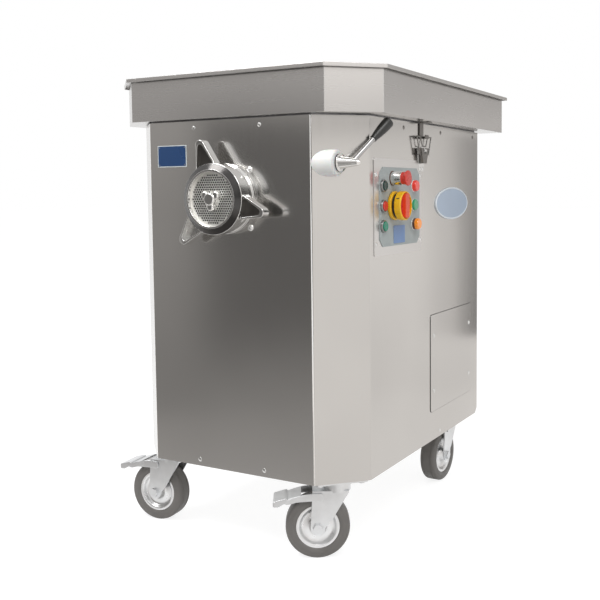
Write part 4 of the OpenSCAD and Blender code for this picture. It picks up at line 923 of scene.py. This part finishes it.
# %% Brake pedals
CHEEK, FOOT_HALF, ARM_REACH = 2.5, 28, 40
cheek_outline = [(-6, -2), (-4, -4.5), (20, -4.5), (45, -6), (60, -10), (66, -10), (68, -2), (50, 4),
                 (32, 8.5), (12, 10.5), (-4, 10.5), (-7, 7), (-7, 0)]
bridge_outline = [(36, 7.6), (36, 5), (50, 1.2), (64, -4), (66, -1.6), (50, 4)]
foot_outline = [(62, -8), (62, 1), (64, 2.2), (68, 2), (88, -3.5), (90, -5.5), (90, -13),
                (88, -14.5), (80, -14.5), (70, -9)]
pivots = {joint["name"]: Vector(joint["pos_m"]) for joint in frame["joints"] if "pos_m" in joint}
for side in ("right", "left"):
    node = f"pedal_{side}"
    trail = pivots[f"roll_front_{side}"] - pivots[f"swivel_front_{side}"]
    trail.z = 0
    trail.normalize()
    pedal_face = face_frame(pivots[f"brake_{side}"], trail, (0, 0, 1), trail.cross((0, 0, 1)))
    arm = [pedal_face.inverted() @ v.co for v in nodes[node].data.vertices]
    arm_out = max(abs(c.z) for c in arm if c.x < ARM_REACH)
    between = along(0.5 - arm_out)
    pedal = bmesh.new()
    for at in (-arm_out, arm_out - CHEEK):
        cheek = raise_outline(cheek_outline, CHEEK)
        soften(cheek, 0.8, 3, 35)
        add_shell(pedal, cheek, along(at))
    add_shell(pedal, raise_outline(bridge_outline, 2 * arm_out - 1), between)
    tread = raise_outline(foot_outline, 2 * FOOT_HALF)
    soften(tread, 0.7, 3, 35)
    add_shell(pedal, tread, along(-FOOT_HALF))
    brake_pin = revolve([(0, 0), (3, 0), (3, 2 * arm_out - 1), (0, 2 * arm_out - 1)], 24)
    add_shell(pedal, brake_pin, between)
    stand_in(pedal, node + "_pressed", node, pedal_face)

# %% [markdown]
# The wheel's rim is two pressed dishes, and its tyre is moulded rubber with round shoulders and a
# shallow groove beside each. Their outlines are drawn for one side, as (radius, distance from the
# middle), and mirrored. The axle comes from the joint that the wheel rolls on.

# %% Wheels
RIM, TYRE, TYRE_HALF, TREAD_HALF, HUB_HALF, AXLE = 42, 62.5, 18.75, 12.5, 21.7, 6.05


def both_sides(half):
    """An outline drawn on one side of a wheel, with its mirror image."""
    return [(r, -z) for r, z in half] + [(r, z) for r, z in reversed(half)]


rim_outline = both_sides([(AXLE, HUB_HALF), (10.5, HUB_HALF), (12.5, HUB_HALF - 0.8), (14, HUB_HALF - 3.4),
                          (15.5, 13), (18, 10.2), (22, 8.8), (28, 8), (31.5, 8.6), (33.6, 10.6), (35, 13.6),
                          (36.4, 15.6), (38.4, 16.4), (RIM, 16.4)])
groove_at = TREAD_HALF - 3.5
tyre_outline = both_sides([(RIM, TYRE_HALF - 2.4), (RIM + 1, TYRE_HALF - 1), (RIM + 3.4, TYRE_HALF - 0.2),
                           (49, TYRE_HALF), (51.5, TYRE_HALF), (52.2, TYRE_HALF - 0.5),
                           (55, TYRE_HALF - 0.8), *arc(TYRE - 6.5, TYRE_HALF - 7.2, 6.5, 80, 12, 5),
                           (TYRE, groove_at + 1.2), (TYRE - 0.7, groove_at + 0.8),
                           (TYRE - 0.7, groove_at - 0.4), (TYRE, groove_at - 0.8)])
wheel_parts = (("rim", rim_outline, 72, "pressed"), ("tyre", tyre_outline, 96, "moulded"))
for joint in frame["joints"]:
    if not joint["name"].startswith("roll_"):
        continue
    corner = joint["name"].removeprefix("roll_")
    axle = Vector(joint["axis"]).normalized()
    wheel_face = face_frame(joint["pos_m"], axle.cross((0, 0, 1)), (0, 0, 1), axle)
    for part, outline, steps, made in wheel_parts:
        node = f"{part}_{corner}"
        stand_in(revolve(outline, steps, closed=True), f"{node}_{made}", node, wheel_face, smooth=50)

# %% [markdown]
# ## The back and the inside
#
# The cable gland and the drive only show from behind, from below and through the slots. They get
# the same round edges as the rest.

# %% Back and inside
for node in ("cable_gland", "chassis", "head_housing", "gearbox", "drive_shaft"):
    dress(node, 0.8 * MM, 2, 50)

# %% [markdown]
# ## The stage
#
# A pale floor and an even pale world stand in for the studio. Rays that leave the camera, and
# those that a polished face sends on, see plain white. The lamps are large and soft, so that a
# matt colour comes out about as it is written.

# %% Nodes of the stage
def seen_directly(tree):
    """One where a ray comes from the camera, a polished face or clear plastic."""
    path = tree.nodes.new("ShaderNodeLightPath")
    total = path.outputs["Is Camera Ray"]
    for name in ("Is Glossy Ray", "Is Transmission Ray"):
        most = tree.nodes.new("ShaderNodeMath")
        most.operation = "MAXIMUM"
        tree.links.new(total, most.inputs[0])
        tree.links.new(path.outputs[name], most.inputs[1])
        total = most.outputs[0]
    return total


def empty_tree(owner):
    owner.use_nodes = True
    owner.node_tree.nodes.clear()
    return owner.node_tree


def by_ray(tree, kind, others, direct):
    """Shows one shader to rays that see directly, and another to all others."""
    choose = tree.nodes.new("ShaderNodeMixShader")
    tree.links.new(seen_directly(tree), choose.inputs["Fac"])
    tree.links.new(others.outputs[0], choose.inputs[1])
    tree.links.new(direct.outputs[0], choose.inputs[2])
    tree.links.new(choose.outputs[0], tree.nodes.new(kind).inputs["Surface"])


def flat_square(name, half, finish_name):
    """One square face centred on the origin, with a finish still to be made."""
    mesh = bpy.data.meshes.new(name)
    bm = bmesh.new()
    bmesh.ops.create_grid(bm, x_segments=1, y_segments=1, size=half)
    bm.to_mesh(mesh)
    bm.free()
    mesh.materials.append(bpy.data.materials.new(finish_name))
    return new_object(name, mesh)


print("stage tools ready")

# %% World and floor
world = bpy.data.worlds.new("studio")
bpy.context.scene.world = world
sky = empty_tree(world)
ambient = node_in(sky, "ShaderNodeBackground", Color=(1, 1, 1, 1), Strength=0.55)
white = node_in(sky, "ShaderNodeBackground", Color=(1, 1, 1, 1), Strength=1.0)
by_ray(sky, "ShaderNodeOutputWorld", ambient, white)

FLOOR_HALF = 30
floor = flat_square("floor", FLOOR_HALF, "pale_floor")
ground = empty_tree(floor.data.materials[0])
matt = node_in(ground, "ShaderNodeBsdfDiffuse", Color=(0.62, 0.62, 0.62, 1))
shadowed = node_in(ground, "ShaderNodeBsdfDiffuse", Color=(0.3, 0.3, 0.3, 1))
glow = node_in(ground, "ShaderNodeEmission", Color=(1, 1, 1, 1), Strength=0.84)
both = ground.nodes.new("ShaderNodeAddShader")
ground.links.new(shadowed.outputs[0], both.inputs[0])
ground.links.new(glow.outputs[0], both.inputs[1])
by_ray(ground, "ShaderNodeOutputMaterial", matt, both)
print(f"floor {2 * FLOOR_HALF} m wide")


# %% Lamps
def lamp(name, place, target, size, power):
    light = bpy.data.lights.new(name, "AREA")
    light.shape, light.size, light.energy = "DISK", size, power
    thing = new_object(name, light)
    thing.location = place
    thing.rotation_mode = "QUATERNION"
    thing.rotation_quaternion = (Vector(target) - Vector(place)).to_track_quat("-Z", "Y")


lamp("key", (-1.2, -1.6, 3.2), (0, 0, 0.5), 1.6, 60)
lamp("fill", (2.2, -1.9, 3.4), (0, 0, 0.5), 2.0, 50)
print("two lamps")

# %% [markdown]
# Polished steel shows whatever stands round it, so the studio also has cloths that only
# reflections see. A grey one stands before the front, with a dark one hung on it, and a pale one
# beside the side, with a dark one over its far end. One more gives the slanted corner its shaded
# top, and a small dark one hangs near the camera. Each is shaded from its foot to its head alone.

# %% Cloths
CLOTH_TINT = (1.0, 0.965, 0.935)


def cloth(name, place, right, up, size, tones):
    """A cloth that only polished faces see, with its tones by height from foot to head."""
    card = flat_square(name, 0.5, name)
    right, up = Vector(right).normalized(), Vector(up)
    axes = Matrix((right, up, right.cross(up))).transposed().to_4x4()
    card.matrix_world = Matrix.Translation(place) @ axes @ Matrix.Diagonal((*size, 1, 1))
    tree = empty_tree(card.data.materials[0])
    spot = tree.nodes.new("ShaderNodeTexCoord")
    split = tree.nodes.new("ShaderNodeSeparateXYZ")
    share = tree.nodes.new("ShaderNodeMath")
    share.inputs[1].default_value = 0.5
    ramp = tree.nodes.new("ShaderNodeValToRGB")
    ramp.color_ramp.interpolation = "EASE"
    for i, (height, tone) in enumerate(tones):
        stop = ramp.color_ramp.elements[i] if i < 2 else ramp.color_ramp.elements.new(1.0)
        stop.position = height / size[1]
        stop.color = (*(c * tone for c in CLOTH_TINT), 1)
    glow = node_in(tree, "ShaderNodeEmission", Strength=1.0)
    output = tree.nodes.new("ShaderNodeOutputMaterial")
    tree.links.new(spot.outputs["Object"], split.inputs[0])
    tree.links.new(split.outputs["Y"], share.inputs[0])
    tree.links.new(share.outputs[0], ramp.inputs["Fac"])
    tree.links.new(ramp.outputs["Color"], glow.inputs["Color"])
    tree.links.new(glow.outputs[0], output.inputs["Surface"])
    card.visible_camera = card.visible_diffuse = card.visible_shadow = False
    card.visible_transmission = card.visible_volume_scatter = False
    print(name, len(tones), "tones")


cloth("front_cloth", (-0.633, -1.209, 0.75), (0.81, -0.59, 0), (0, 0, 1), (2.4, 1.5),
      [(0, 0.28), (0.6, 0.35), (1, 0.45), (1.5, 0.8)])
cloth("dark_front_cloth", (-0.42, -1.34, 0.475), (0.81, -0.59, 0), (0, 0, 1), (0.7, 0.95),
      [(0, 0.3), (0.35, 0.15), (0.95, 0.15)])
cloth("front_floor_cloth", (-0.55, -0.98, 0.002), (1, 0, 0), (0, 1, 0), (2.2, 1.1),
      [(0, 0.3), (0.8, 0.4), (1.1, 0.9)])
cloth("side_cloth", (0.74, 1.07, 0.75), (-0.81, 0.59, 0), (0, 0, 1), (1, 1.5),
      [(0, 0.85), (0.5, 1), (0.85, 0.85), (1, 0.55), (1.5, 0.55)])
cloth("dark_side_cloth", (0.49, 1.23, 0.55), (-0.81, 0.59, 0), (0, 0, 1), (0.4, 0.7),
      [(0, 0.25), (0.7, 0.4)])
cloth("corner_cloth", (1.04, -0.77, 0.75), (0.59, 0.8, 0), (0, 0, 1), (1, 1.5),
      [(0, 0.95), (0.86, 1), (0.9, 0.5), (0.94, 0.5), (1, 1.2), (1.5, 1.2)])
cloth("camera_cloth", (0.74, -1.14, 1.06), (0.86, 0.5, 0), (0, 0, 1), (0.42, 0.7),
      [(0, 0.03), (0.7, 0.03)])
cloth("side_floor_cloth", (1.75, 0.1, 0.002), (1, 0, 0), (0, 1, 0), (2.7, 4.2),
      [(0, 0.9), (4.2, 0.9)])
